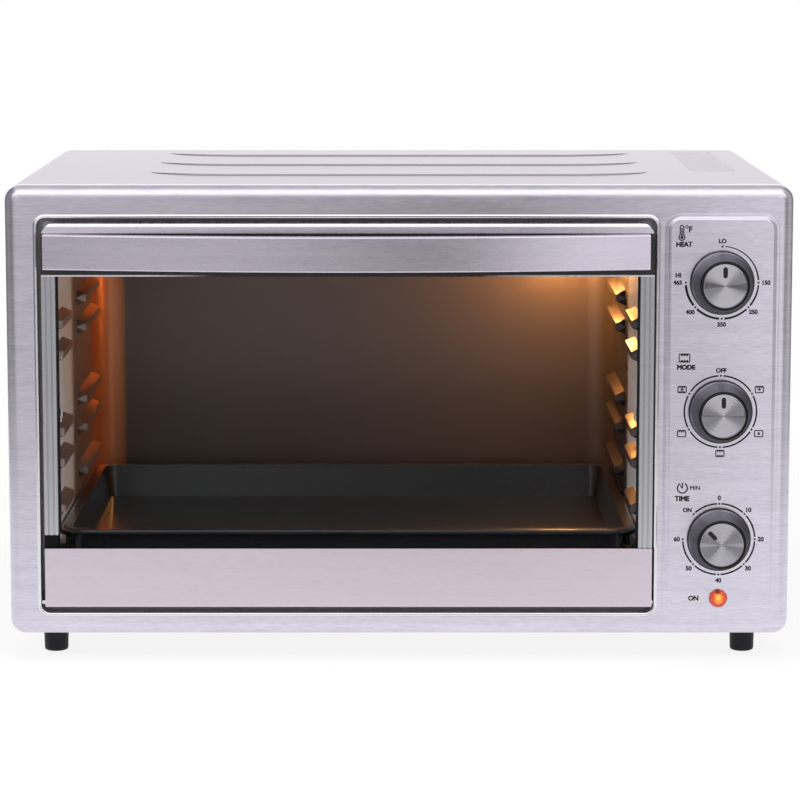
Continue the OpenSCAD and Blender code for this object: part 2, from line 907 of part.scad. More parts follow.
// Socket of the oven lamp behind the right liner
module lamp_socket() color([0.85, 0.83, 0.78]) {
    translate([cav_x1 + sheet, bulb_cy, bulb_cz])
        difference() {
            union() {
                bar_x(bulb_r + 2, 0, 3);
                bar_x(bulb_r - 4, 0, 26);
            }
            bar_x(5 + 2 * run_fit, -1, 14 - sheet);
        }
}

// Pan around the fan, fixed to the outside of the right liner
module fan_shroud() color([0.58, 0.58, 0.6]) {
    translate([cav_x1 + sheet, fan_cy, fan_cz])
        difference() {
            union() {
                bar_x(shroud_r + 6, 0, sheet);
                bar_x(shroud_r, 0, shroud_d);
            }
            bar_x(shroud_r - sheet, -1, shroud_d - sheet);
            bar_x(shaft_r + 1, -1, shroud_d + 1);
        }
}

// Shaded-pole motor on the back of the shroud
module fan_motor() color([0.4, 0.4, 0.42]) {
    translate([cav_x1 + sheet + shroud_d, fan_cy, fan_cz])
        difference() {
            union() {
                bar_x(9, 0, 30);
                box([6, -30, -28], [22, 30, 20]);
                box([2, -22, -46], [26, 22, -22]);
                for (y = [-24, 24])
                    translate([0, y, 8])
                        bar_x(3, 0, 24);
            }
            bar_x(shaft_r + run_fit, -1, 24);
        }
}

// Fan wheel: hub with pitched blades
module fan_wheel() color([0.66, 0.66, 0.68]) {
    translate([cav_x1 + sheet + 3, fan_cy, fan_cz])
        difference() {
            union() {
                bar_x(hub_r, 0, wheel_d);
                intersection() {
                    bar_x(fan_r, 0, wheel_d);
                    for (i = [0 : fan_blades - 1])
                        rotate([i * 360 / fan_blades, 0, 0])
                            translate([wheel_d / 2, 0, fan_r / 2])
                                rotate([0, 0, 40])
                                    cube([1.2, 24, fan_r + 2], center = true);
                }
            }
            bar_x(shaft_r + run_fit, 0.4, wheel_d + 1);
        }
}

// Shaft of the fan
module fan_shaft() color([0.7, 0.7, 0.7]) {
    translate([cav_x1 + sheet, fan_cy, fan_cz])
        bar_x(shaft_r, 3.5, shroud_d + 20);
}

// Body of a control behind the island, with its neck through the panel
module control(p, size) {
    w = size[0];
    h = size[1];
    d = size[2];
    translate([p[0], back_y, p[1]])
        difference() {
            union() {
                box([-w / 2, 0, -h / 2], [w / 2, d, h / 2]);
                bar_y(neck_r, -sheet - neck_out, 1);
                for (x = [-1, 1])
                    for (z = [-1, 1])
                        box([x * w / 4 - 3, d - 1, z * h / 4 - 0.4], [x * w / 4 + 3, d + 8, z * h / 4 + 0.4]);
            }
            bar_y(shaft_r + run_fit, -sheet - neck_out - 1, 18);
        }
}

module thermostat() color([0.85, 0.82, 0.75]) control(knob_xz[0], thermostat_size);
module function_switch() color([0.2, 0.2, 0.22]) control(knob_xz[1], switch_size);
module timer() color([0.72, 0.72, 0.7]) control(knob_xz[2], timer_size);

// Hexagon nuts that clamp the controls to the island
module control_nuts() color([0.75, 0.72, 0.6]) {
    for (p = knob_xz)
        translate([p[0], panel_y, p[1]])
            facing()
                difference() {
                    cylinder(r = neck_r + 3, h = nut_h, $fn = 6);
                    translate([0, 0, -1])
                        cylinder(r = neck_r + run_fit, h = nut_h + 2);
                }
}

// Jewel of the power lamp
module power_lamp_lens() color([0.9, 0.25, 0.1]) {
    translate([island_x, panel_y, lamp_z])
        facing()
            rotate_extrude()
                polygon([
                    [0, 0],
                    [lamp_r, 0],
                    [lamp_r, 1.6],
                    [lamp_r - 1, 3.4],
                    [lamp_r - 3, 5],
                    [0, 5.8]
                ]);
}

// Holder of the power lamp behind the panel
module power_lamp_holder() color([0.85, 0.85, 0.85]) {
    translate([island_x, panel_y, lamp_z]) {
        bar_y(lamp_r - 1.2, 0, 22);
        bar_y(lamp_r, sheet, 3);
    }
}

// Knob skirt with a recess for its cap and a bore for its shaft
module knob(p) color([0.16, 0.16, 0.17]) {
    translate([p[0], panel_y - knob_gap, p[1]])
        facing()
            rotate_extrude()
                difference() {
                    polygon([
                        [0, 0],
                        [knob_r, 0],
                        [knob_r, 2],
                        [knob_r - 1.4, 3.2],
                        [cap_r + 1.9, knob_h - 1.6],
                        [cap_r + 1.2, knob_h],
                        [0, knob_h]
                    ]);
                    translate([-1, -1])
                        square([neck_r + 4.5, 7]);
                    translate([-1, -1])
                        square([shaft_r + run_fit + 1, knob_h - 3]);
                    translate([-1, knob_h - 1.4])
                        square([cap_r + run_fit + 1, 2]);
                }
}

// Outline of the pointer groove, round at both ends
module groove_outline() {
    run = pointer_l - pointer_w;
    square([pointer_w, run], center = true);
    for (y = [-run / 2, run / 2])
        translate([0, y])
            circle(pointer_w / 2);
}

// Spun metal cap with a pointer groove
module cap(p, turn) color([0.78, 0.78, 0.78]) {
    translate([p[0], panel_y - knob_gap - knob_h + 1.4, p[1]])
        facing()
            rotate([0, 0, turn])
                difference() {
                    rotate_extrude()
                        polygon([[0, 0], [cap_r, 0], [cap_r, 1.2], [cap_r - 0.6, 1.8], [0, 1.8]]);
                    translate([0, cap_r - pointer_in - pointer_l / 2, 1])
                        linear_extrude(2)
                            groove_outline();
                }
}

// Control shaft between a control and its knob
module shaft(p) color([0.72, 0.72, 0.72]) {
    translate([p[0], back_y, p[1]])
        bar_y(shaft_r, -sheet - knob_gap - knob_h + 5, 16);
}

module temperature_knob() knob(knob_xz[0]);
module temperature_cap() cap(knob_xz[0], 0);
module temperature_shaft() shaft(knob_xz[0]);
module function_knob() knob(knob_xz[1]);
module function_cap() cap(knob_xz[1], 0);
module function_shaft() shaft(knob_xz[1]);
module timer_knob() knob(knob_xz[2]);
module timer_cap() cap(knob_xz[2], timer_rest);
module timer_shaft() shaft(knob_xz[2]);

// Steel block behind the opening's lip that carries a door pin, with a nose beside the lip's bend
module hinge_bracket(x0, x1, nose_x0, nose_x1) color([0.6, 0.6, 0.62]) {
    difference() {
        union() {
            box([x0, lip_r + 0.5, pin_z - 7], [x1, cav_y0, pin_z + 8]);
            box([nose_x0, sheet + fit, pin_z - 7], [nose_x1, lip_r + 1, pin_z + 8]);
        }
        translate([0, pin_y, pin_z])
            bar_x(pin_r + run_fit, x0 - 1, x1 + 1);
    }
}

module hinge_bracket_left() hinge_bracket(open_x0 - sheet - bracket_t, open_x0 - sheet,
    open_x0 - sheet - bracket_t, open_x0 - sheet - lip_r);
module hinge_bracket_right() hinge_bracket(open_x1 + sheet, open_x1 + sheet + bracket_t,
    open_x1 + sheet + lip_r, open_x1 + sheet + bracket_t);

// The two door pins, fixed in the hinge blocks
module hinge_pins() color([0.85, 0.85, 0.86]) {
    translate([0, pin_y, pin_z]) {
        bar_x(pin_r, open_x0 - sheet - bracket_t + 0.5, door_x0 + 11);
        bar_x(pin_r, door_x1 - 11, open_x1 + sheet + bracket_t - 0.5);
    }
}

// Section of a hinge block, cut off at the lower front edge for the strip's bend
module block_section(y, z) {
    polygon([
        [y + block_cut, z],
        [door_t, z],
        [door_t, strip_z1],
        [y, strip_z1],
        [y, z + block_cut]
    ]);
}

// Hinge block in the end of the bottom strip, with a groove for the glass
module hinge_block(show) {
    difference() {
        union() {
            translate([door_x0, 0, 0])
                sideways()
                    linear_extrude(block_w)
                        block_section(sheet - strip_out, door_z0 + sheet);
            if (show > 0)
                box([door_x0, 0, strip_z1 - 1], [door_x0 + channel_w, door_t, strip_z1 + show]);
        }
        box([door_x0 + edge_in, glass_y - slot_fit, glass_z0],
            [door_x1, glass_y + glass_t + slot_fit, strip_z1 + show + 1]);
        translate([door_x0, pin_y, pin_z])
            bar_x(pin_r + run_fit, -1, 11.5);
    }
}

module hinge_block_left() color([0.05, 0.05, 0.05]) hinge_block(block_show);
module hinge_block_right() color([0.05, 0.05, 0.05]) door_mirror() hinge_block(0);

// Glass pane of the door
module door_glass() color([0.35, 0.38, 0.4, 0.4]) {
    box([door_x0 + edge_in + slot_fit, glass_y, glass_z0],
        [door_x1 - edge_in - slot_fit, glass_y + glass_t, glass_z1]);
}

// Front outline of the top rail, with round upper corners
module rail_outline() {
    r = 11;
    translate([0, -r / 2])
        square([door_w, rail_h - r], center = true);
    square([door_w - 2 * r, rail_h], center = true);
    for (x = [-1, 1])
        translate([x * (door_w / 2 - r), rail_h / 2 - r])
            circle(r);
}

// Section of the top rail, round along its upper edges
module rail_section() {
    r = 4;
    square([door_t, rail_h - r]);
    translate([r, 0])
        square([door_t - 2 * r, rail_h]);
    for (y = [r, door_t - r])
        translate([y, rail_h - r])
            circle(r);
}

// Top rail of the door, grooved for the glass and bored for the handle screws
module door_top_rail() color([0.72, 0.71, 0.73]) {
    difference() {
        intersection() {
            translate([door_x0, 0, rail_z0])
                sideways()
                    linear_extrude(door_w)
                        rail_section();
            translate([door_xm, 0, rail_z0 + rail_h / 2])
                upright()
                    linear_extrude(door_t)
                        rail_outline();
        }
        box([door_x0 + edge_in, glass_y - slot_fit, rail_z0 - 1],
            [door_x1 - edge_in, glass_y + glass_t + slot_fit, glass_z1 + slot_fit]);
        for (x = [handle_x0 + post_x, handle_x1 - post_x])
            translate([x, 0, handle_z])
                bar_y(2 + fit, -1, door_t + 1);
    }
}

// Bowed handle bar with a post at each end
module door_handle() color([0.7, 0.69, 0.71]) {
    half = asin(handle_half / handle_R);
    difference() {
        union() {
            translate([handle_xm, handle_y + handle_R, handle_z])
                rotate([0, 0, -90 - half])
                    rotate_extrude(angle = 2 * half, $fn = 256)
                        translate([handle_R - handle_t / 2, 0])
                            rrect(handle_t, handle_h, 1.2);
            for (x = [handle_x0 + post_x, handle_x1 - post_x])
                translate([x, -handle_t / 2 + 1, handle_z])
                    cube([post_w, handle_t - 2, handle_h - 4], center = true);
        }
        for (x = [handle_x0 + post_x, handle_x1 - post_x])
            translate([x, 0, handle_z])
                bar_y(2 + fit, -5, 5);
        box([door_x0 - 50, 0, rail_z0], [door_x1 + 50, 20, door_z1 + 20]);
    }
}

// Screws that hold the handle from behind the top rail
module handle_screws() color([0.6, 0.6, 0.6]) {
    for (x = [handle_x0 + post_x, handle_x1 - post_x])
        translate([x, 0, handle_z]) {
            bar_y(2, -4.5, door_t + 0.5);
            bar_y(3.6, door_t, door_t + 1.8);
        }
}

// Section of a side channel: ribbed front, open towards the glass
module channel_section() {
    difference() {
        square([channel_w, door_t]);
        translate([edge_in, glass_y - slot_fit])
            square([channel_w, glass_t + 2 * slot_fit]);
        for (x = [0.32, 0.7])
            translate([x * channel_w - 0.6, -0.1])
                square([1.2, 0.8]);
    }
}

// Aluminium channel on the door's left edge, above the hinge block
module door_channel_left() color([0.76, 0.76, 0.78]) {
    translate([door_x0, 0, strip_z1 + block_show])
        linear_extrude(rail_z0 - strip_z1 - block_show)
            channel_section();
}

// Aluminium channel on the door's right edge
module door_channel_right() color([0.76, 0.76, 0.78]) {
    door_mirror()
        translate([door_x0, 0, strip_z1])
            linear_extrude(rail_z0 - strip_z1)
                channel_section();
}

// Bottom strip of the door, folded around the hinge blocks
module door_bottom_strip() color([0.76, 0.75, 0.77]) {
    r = strip_r;
    translate([door_x0, 0, door_z0])
        sideways()
            linear_extrude(door_w) {
                translate([-strip_out, r])
                    square([sheet, strip_h - r]);
                translate([r - strip_out, r])
                    intersection() {
                        difference() {
                            circle(r);
                            circle(r - sheet);
                        }
                        translate([-r, -r])
                            square([r, r]);
                    }
                translate([r - strip_out, 0])
                    square([door_t + strip_out - r + sheet, sheet]);
                translate([door_t, 0])
                    square([sheet, strip_h - 10]);
            }
}

// Hook on the door's left channel that draws a rack out
module hook() {
    x = door_x0 + channel_w + 1.4;
    translate([0, 0, door_z0 + hook_up]) {
        box([door_x0 + 2, door_t, -5], [x, door_t + 1, 9]);
        translate([x, 0, 0])
            bar_y(1.3, door_t, door_t + 8);
        translate([x, door_t + 8, 0])
            sphere(r = 1.3);
        translate([x, door_t + 8, 0])
            cylinder(r = 1.3, h = 7);
    }
}

// The two rack hooks
module rack_hooks() color([0.85, 0.85, 0.86]) {
    hook();
    door_mirror()
        hook();
}

placed() fascia();
placed() top_cover();
placed() left_side_panel();
placed() right_side_panel();
placed() back_panel();
placed() base_plate();
placed() feet();
placed() base_screws();
placed() back_screws();
placed() cord_inlet();
placed() left_liner();
placed() right_liner();
placed() back_liner();
placed() ceiling_liner();
placed() floor_liner();
placed() upper_heater_front();
placed() upper_heater_rear();
placed() lower_heater_front();
placed() lower_heater_rear();
placed() heater_insulators();
placed() crumb_tray();
placed() lamp_lens();
placed() lamp_bulb();
placed() lamp_socket();
placed() fan_shroud();
placed() fan_motor();
placed() fan_wheel();
placed() fan_shaft();
placed() thermostat();
placed() function_switch();
placed() timer();
placed() control_nuts();
placed() power_lamp_lens();
placed() power_lamp_holder();
placed() temperature_knob();
placed() temperature_cap();
placed() temperature_shaft();
placed() function_knob();
placed() function_cap();
placed() function_shaft();
placed() timer_knob();
placed() timer_cap();
placed() timer_shaft();
placed() hinge_bracket_left();
placed() hinge_bracket_right();
placed() hinge_pins();
placed() hinge_block_left();
placed() hinge_block_right();
placed() door_glass();
placed() door_top_rail();
placed() door_handle();
placed() handle_screws();
placed() door_channel_left();
placed() door_channel_right();
placed() door_bottom_strip();
placed() rack_hooks();
placed() baking_tray();
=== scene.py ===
# %% [markdown]
# A countertop oven with a drop-down glass door, dressed in Blender.
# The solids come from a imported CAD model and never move. Each cell below adds a finish, a
# finer piece or a light to them, and says how it was made.

# %% Load the fixed frame
import json
import math

import bmesh
import bpy
from mathutils import Matrix, Vector


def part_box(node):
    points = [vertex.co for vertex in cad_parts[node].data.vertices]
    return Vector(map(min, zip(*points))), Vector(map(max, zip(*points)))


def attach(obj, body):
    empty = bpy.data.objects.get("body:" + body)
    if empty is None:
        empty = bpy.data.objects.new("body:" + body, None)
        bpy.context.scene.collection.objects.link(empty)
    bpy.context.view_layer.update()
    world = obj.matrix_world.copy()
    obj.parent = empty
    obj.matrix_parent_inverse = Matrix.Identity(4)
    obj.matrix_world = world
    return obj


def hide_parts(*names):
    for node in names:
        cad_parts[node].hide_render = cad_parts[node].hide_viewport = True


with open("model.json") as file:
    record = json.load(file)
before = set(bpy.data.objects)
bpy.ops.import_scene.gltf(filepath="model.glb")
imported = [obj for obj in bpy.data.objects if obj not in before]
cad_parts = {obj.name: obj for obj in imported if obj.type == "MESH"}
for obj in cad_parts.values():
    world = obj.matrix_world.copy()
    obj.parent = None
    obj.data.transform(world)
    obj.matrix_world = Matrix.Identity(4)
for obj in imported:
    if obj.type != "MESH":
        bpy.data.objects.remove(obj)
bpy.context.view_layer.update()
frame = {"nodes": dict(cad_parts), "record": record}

MM = 0.001
scene = bpy.context.scene
scene.view_settings.view_transform = "Standard"

# %% [markdown]
# The camera stands where the photo was taken: 2.3 m in front of the panel, a little above the
# oven, with a long lens. A long lens keeps the sides almost parallel, so place, tilt and lens were
# fitted together, to edges that are easy to measure, and not set one after the other by eye.

# %% Camera
LENS_MM = 149.94
FILM_MM = 36
CAMERA_PLACE = (0.00066, -2.490, 0.5121)
CAMERA_TILT = 82.01
camera_data = bpy.data.cameras.new("photo_camera")
camera_data.lens = LENS_MM
camera_data.sensor_width = FILM_MM
camera = bpy.data.objects.new("photo_camera", camera_data)
camera.location = CAMERA_PLACE
camera.rotation_euler = (math.radians(CAMERA_TILT), 0, 0)
scene.collection.objects.link(camera)
scene.camera = camera
print("camera at", tuple(camera.location))

# %% [markdown]
# Shader nodes are easier to read as sums than as a drawing. A Value wraps one output socket,
# and its operators add Math nodes. A Shader owns one node tree and makes any other node from
# its type, its settings and its sockets.


# %% Shader toolkit
class Value:
    """One output socket that takes part in Python arithmetic."""

    def __init__(self, shader, socket):
        self.shader = shader
        self.socket = socket

    def maths(self, operation, first, second):
        return self.shader.node("ShaderNodeMath", {"operation": operation}, {0: first, 1: second})

    def __add__(self, other):
        return self.maths("ADD", self, other)

    def __radd__(self, other):
        return self.maths("ADD", other, self)

    def __sub__(self, other):
        return self.maths("SUBTRACT", self, other)

    def __rsub__(self, other):
        return self.maths("SUBTRACT", other, self)

    def __mul__(self, other):
        return self.maths("MULTIPLY", self, other)

    def __rmul__(self, other):
        return self.maths("MULTIPLY", other, self)

    def __truediv__(self, other):
        return self.maths("DIVIDE", self, other)

    def __rtruediv__(self, other):
        return self.maths("DIVIDE", other, self)

    def __lt__(self, other):
        return self.maths("LESS_THAN", self, other)

    def __gt__(self, other):
        return self.maths("GREATER_THAN", self, other)


class Shader:
    """A node tree that is filled by plain calls."""

    def __init__(self, owner):
        owner.use_nodes = True
        self.owner = owner
        self.tree = owner.node_tree
        self.tree.nodes.clear()

    def node(self, kind, settings=None, sockets=None, out=0):
        made = self.tree.nodes.new(kind)
        for key, value in (settings or {}).items():
            if key == "stops":
                self.set_ramp(made.color_ramp, value)
            else:
                setattr(made, key, value)
        for key, value in (sockets or {}).items():
            if isinstance(value, Value):
                self.tree.links.new(value.socket, made.inputs[key])
            else:
                made.inputs[key].default_value = value
        return Value(self, made.outputs[out]) if made.outputs else made

    def set_ramp(self, ramp, stops):
        while len(ramp.elements) < len(stops):
            ramp.elements.new(1.0)
        for element, (place, level) in zip(ramp.elements, stops):
            element.position = place
            element.color = (*level, 1) if hasattr(level, "__len__") else (level, level, level, 1)

    def place(self, axis=None):
        spot = self.node("ShaderNodeTexCoord", out="Object")
        if axis is None:
            return spot
        return self.node("ShaderNodeSeparateXYZ", sockets={0: spot}, out=axis)

    def noise(self, scale, detail=3.0, roughness=0.55):
        stretched = self.node("ShaderNodeMapping", sockets={"Vector": self.place(), "Scale": scale})
        inputs = {"Vector": stretched, "Scale": 1.0, "Detail": detail, "Roughness": roughness}
        return self.node("ShaderNodeTexNoise", sockets=inputs)

    def ramp(self, factor, stops):
        return self.node("ShaderNodeValToRGB", {"stops": stops}, {"Fac": factor})

    def mix(self, factor, first, second):
        inputs = {0: factor, 6: first, 7: second}
        return self.node("ShaderNodeMix", {"data_type": "RGBA"}, inputs, out=2)

    def length(self, vector):
        return self.node("ShaderNodeVectorMath", {"operation": "LENGTH"}, {0: vector}, out="Value")

    def bump(self, height, strength, distance):
        inputs = {"Height": height, "Strength": strength, "Distance": distance}
        return self.node("ShaderNodeBump", sockets=inputs)

    def principled(self, **sockets):
        named = {key.replace("_", " ").title(): value for key, value in sockets.items()}
        if "Specular Ior Level" in named:
            named["Specular IOR Level"] = named.pop("Specular Ior Level")
        return self.node("ShaderNodeBsdfPrincipled", sockets=named)

    def finish(self, surface):
        self.node("ShaderNodeOutputMaterial", sockets={"Surface": surface})
        return self.owner


def finish_shader(name):
    return Shader(bpy.data.materials.new(name))


def tone(colour, factor=1.0):
    return (*[min(1.0, channel * factor) for channel in colour], 1)


print("shader toolkit ready")

# %% [markdown]
# The stage is a pale floor, a white surround and grey cards around the oven. Steel has no colour
# of its own worth the name: it shows what stands around it. The white floor near the oven makes
# the lower part of the front bright. The cards, which only reflections see, stand for the dim
# room in front, the soft box above it and the dark sides, as in a small photo studio. A picture of
# a room could do the same, but plain cards can be moved and dimmed one by one.

# %% Floor and surround
WHITE = (1, 1, 1, 1)
FLOOR_COLOUR = (0.82, 0.82, 0.83, 1)
FLOOR_RADIUS = 12
SHADOW_REACH = 2.0
SHADOW_FADE = [(0.2, 0.14), (0.55, 0.0)]
AMBIENT = 0.3


def seen_rays(shader):
    total = sum(
        shader.node("ShaderNodeLightPath", out=f"Is {kind} Ray")
        for kind in ("Camera", "Glossy", "Transmission"))
    return shader.node("ShaderNodeClamp", sockets={"Value": total})


def link_mesh(name, mesh):
    data = bpy.data.meshes.new(name)
    mesh.to_mesh(data)
    mesh.free()
    made = bpy.data.objects.new(name, data)
    scene.collection.objects.link(made)
    return made


def make_floor():
    mesh = bmesh.new()
    bmesh.ops.create_circle(mesh, cap_ends=True, segments=96, radius=FLOOR_RADIUS)
    floor = link_mesh("floor", mesh)
    shader = finish_shader("pale_floor")
    matt = shader.node("ShaderNodeBsdfDiffuse", sockets={"Color": FLOOR_COLOUR})
    glow = shader.node("ShaderNodeEmission", sockets={"Color": WHITE, "Strength": 1.0})
    shadow = shader.ramp(shader.length(shader.place()) / SHADOW_REACH, SHADOW_FADE)
    shown = shader.node("ShaderNodeMixShader", sockets={0: shadow, 1: glow, 2: matt})
    floor.data.materials.append(shader.finish(
        shader.node("ShaderNodeMixShader", sockets={0: seen_rays(shader), 1: matt, 2: shown})))


def make_surround():
    world = bpy.data.worlds.new("surround")
    scene.world = world
    shader = Shader(world)
    level = seen_rays(shader) * (1 - AMBIENT) + AMBIENT
    backdrop = shader.node("ShaderNodeBackground", sockets={"Color": WHITE, "Strength": level})
    shader.node("ShaderNodeOutputWorld", sockets={"Surface": backdrop})


make_floor()
make_surround()
print("floor and surround set")

# %% [markdown]
# A card is one flat face with an Emission shader whose level runs along the card. Switching off
# its camera, diffuse and shadow rays leaves it in reflections only, so it shapes the shine of
# the steel and adds no light of its own. A ramp runs from 0 to 1, so a place in metres is first
# scaled into that range.

# %% Reflection cards
ROOM_HALF = 1.1
ROOM_FRONT = -0.8
ROOM_DEPTH = 2.0
ROOM_HEIGHT = 1.7
DIM_ROOM = [
    (0.10, 0.15), (0.17, 0.42), (0.27, 0.60), (0.42, 0.55), (0.515, 0.33), (0.555, 0.22),
    (0.59, 0.40), (0.625, 0.72), (0.68, 1.0), (0.75, 1.0), (0.84, 0.25)]
SOFT_BOX = [(0.21, 0.0), (0.31, 0.6), (0.42, 1.0)]
LEFT_SIDE = [(0.1, 0.15), (0.3, 0.32), (0.5, 0.25), (0.7, 0.1)]
RIGHT_SIDE = [(0.1, 0.27), (0.3, 0.6), (0.5, 0.35), (0.7, 0.1)]
BACK_WALL = [(0.5, 1.0), (0.9, 0.5)]
CEILING = [(0.06, 1.0), (0.2, 0.65), (0.33, 0.45), (0.9, 0.36)]
RAMP_DEPTH, RAMP_SHIFT = 2.4, 0.4
SOFT_BOX_REACH = 2.0
SOFT_BOX_LEVEL, BACK_LEVEL, CEILING_LEVEL = 1.65, 1.4, 1.6


def verts_of(result):
    return [item for item in result["geom"] if isinstance(item, bmesh.types.BMVert)]


def make_card(name, corner, across, up, level):
    mesh = bmesh.new()
    points = [Vector(corner), Vector(corner) + Vector(across)]
    edge = mesh.edges.new([mesh.verts.new(point) for point in points])
    made = bmesh.ops.extrude_edge_only(mesh, edges=[edge])
    bmesh.ops.translate(mesh, vec=up, verts=verts_of(made))
    card = link_mesh(name, mesh)
    for kind in ("camera", "diffuse", "transmission", "shadow", "volume_scatter"):
        setattr(card, f"visible_{kind}", False)
    shader = finish_shader(name)
    glow = shader.node("ShaderNodeEmission", sockets={"Color": level(shader), "Strength": 1.0})
    card.data.materials.append(shader.finish(glow))


def grey_level(level):
    return (level, level, level, 1)


def from_front(shader):
    return shader.place("Y") / RAMP_DEPTH + RAMP_SHIFT


def front_level(shader):
    room = shader.ramp(shader.place("X") * 0.5 + 0.5, DIM_ROOM)
    soft_box = shader.ramp(shader.place("Z") / SOFT_BOX_REACH, SOFT_BOX)
    return shader.mix(soft_box, room, grey_level(SOFT_BOX_LEVEL))


def left_level(shader):
    return shader.ramp(from_front(shader), LEFT_SIDE)


def right_level(shader):
    return shader.ramp(from_front(shader), RIGHT_SIDE)


def back_level(shader):
    low = shader.ramp(shader.place("Z") / ROOM_HEIGHT, BACK_WALL)
    return shader.mix(low, grey_level(0), grey_level(BACK_LEVEL))


def ceiling_level(shader):
    depth = shader.ramp(from_front(shader), CEILING)
    return shader.mix(depth, grey_level(0), grey_level(CEILING_LEVEL))


WIDE, DEEP, TALL = (2 * ROOM_HALF, 0, 0), (0, ROOM_DEPTH, 0), (0, 0, ROOM_HEIGHT)
make_card("front_card", (-ROOM_HALF, ROOM_FRONT, 0), WIDE, TALL, front_level)
make_card("left_card", (-ROOM_HALF, ROOM_FRONT, 0), DEEP, TALL, left_level)
make_card("right_card", (ROOM_HALF, ROOM_FRONT, 0), DEEP, TALL, right_level)
make_card("back_card", (-ROOM_HALF, ROOM_FRONT + ROOM_DEPTH, 0), WIDE, TALL, back_level)
make_card("ceiling_card", (-ROOM_HALF, ROOM_FRONT, ROOM_HEIGHT), WIDE, DEEP, ceiling_level)

# %% [markdown]
# Three large soft lamps light what isn't metal: one above, one front left and one on the right.
# Small lamps would do, but their shadows are hard. Large ones give every shadow a soft edge, which
# suits a product on white. A small warm lamp stands in for the bulb inside the oven.

# %% Lamps
OVEN_MIDDLE = (0, 0, 0.2)
BULB_CLEAR = 0.030
BULB_COLOUR = (1.0, 0.43, 0.11)


def soft_lamp(name, place, size, energy):
    data = bpy.data.lights.new(name, "AREA")
    data.shape = "RECTANGLE"
    data.size, data.size_y = size
    data.energy = energy
    lamp = bpy.data.objects.new(name, data)
    lamp.location = place
    aim = Vector(OVEN_MIDDLE) - Vector(place)
    lamp.rotation_euler = aim.to_track_quat("-Z", "Y").to_euler()
    lamp.visible_glossy = False
    scene.collection.objects.link(lamp)


def warm_lamp(name, place, energy, radius):
    data = bpy.data.lights.new(name, "POINT")
    data.energy = energy
    data.color = BULB_COLOUR
    data.shadow_soft_size = radius
    lamp = bpy.data.objects.new(name, data)
    lamp.location = place
    lamp.visible_camera = False
    scene.collection.objects.link(lamp)


soft_lamp("top_box", (0, -0.3, 2.0), size=(1.6, 1.0), energy=28)
soft_lamp("left_box", (-1.5, -1.7, 1.5), size=(1.0, 1.2), energy=34)
soft_lamp("right_box", (1.5, -1.7, 1.5), size=(0.8, 1.2), energy=24)
lens_low, lens_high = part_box("lamp_lens")
bulb_place = (lens_low.x - BULB_CLEAR, (lens_low.y + lens_high.y) / 2, (lens_low.z + lens_high.z) / 2)
warm_lamp("oven_bulb", bulb_place, energy=1.3, radius=0.015)

# %% [markdown]
# Brushed sheet is metal with thousands of fine scratches in one direction, too many to model.
# Noise that is stretched along the brushing gives the same short streaks, and because it reads Object
# coordinates it runs unbroken from the fascia's face into its rolled edge. Small turned pieces are
# plain metal with a cloudy shine, and knob skirts are gunmetal with a dark rim that is painted shade
# around the cap.

# %% Metal finishes
LILAC = (0.69, 0.66, 0.785)
ROSY = (0.69, 0.63, 0.735)
STRIP = (0.69, 0.61, 0.695)
COVER = (0.468, 0.425, 0.495)
GREY = (0.60, 0.60, 0.63)
# Painted shade: the dark rim of the knob skirt around the cap.
PAINTED_RIM_SHADE = (0.03, 0.03, 0.034, 1)
HOUSING_BRUSH = {"grain": (110, 1300, 1300), "contrast": 0.08, "rough": 0.36}
CHANNEL_BRUSH = {"grain": (900, 900, 20), "contrast": 0.12, "rough": 0.26}


def uneven(noise, rough, spread=0.12):
    return noise * spread + (rough - spread / 2)


def brushed_inputs(shader, colour, grain, contrast, rough):
    fine = shader.noise(grain, detail=2.0)
    broad = shader.noise([step / 7 for step in grain], detail=1.0)
    streak = fine * 0.7 + broad * 0.3
    return {
        "base_color": shader.mix(streak, tone(colour, 1 - contrast), tone(colour, 1 + contrast)),
        "roughness": uneven(streak, rough),
        "normal": shader.bump(fine, 0.05, 0.0002)}


def brushed(name, colour, grain=(130, 60, 1500), contrast=0.34, rough=0.3):
    shader = finish_shader(name)
    inputs = brushed_inputs(shader, colour, grain, contrast, rough)
    return shader.finish(shader.principled(metallic=1.0, **inputs))


def plain_metal(name, colour, rough):
    shader = finish_shader(name)
    cloud = shader.noise((90, 90, 90))
    return shader.finish(shader.principled(
        base_color=shader.mix(cloud, tone(colour, 0.9), tone(colour, 1.08)),
        metallic=1.0,
        roughness=uneven(cloud, rough)))


def gunmetal(name, colour, edge, rough, rim_y):
    shader = finish_shader(name)
    cloud = shader.noise((900, 900, 900), detail=2.0)
    grey = shader.mix(cloud, tone(colour, 0.92), tone(colour, 1.08))
    return shader.finish(shader.principled(
        # The skirt's rim around the cap is painted dark, as shade in the groove there.
        base_color=shader.mix(shader.place("Y") < rim_y, grey, PAINTED_RIM_SHADE),
        metallic=1.0,
        specular_tint=tone(edge),
        roughness=uneven(cloud, rough, spread=0.1)))


finishes = {
    "stainless": brushed("stainless", LILAC),
    "housing": brushed("housing", COVER, **HOUSING_BRUSH),
    "door_frame": brushed("door_frame", ROSY, grain=(80, 20, 1500), contrast=0.2, rough=0.28),
    "channel": brushed("channel", GREY, **CHANNEL_BRUSH),
    "steel_small": plain_metal("steel_small", (0.78, 0.77, 0.79), 0.18),
    "brass": plain_metal("brass", (0.70, 0.58, 0.32), 0.3),
    "cap": plain_metal("cap", (0.34, 0.328, 0.37), 0.1),
}
print("metals:", sorted(finishes))
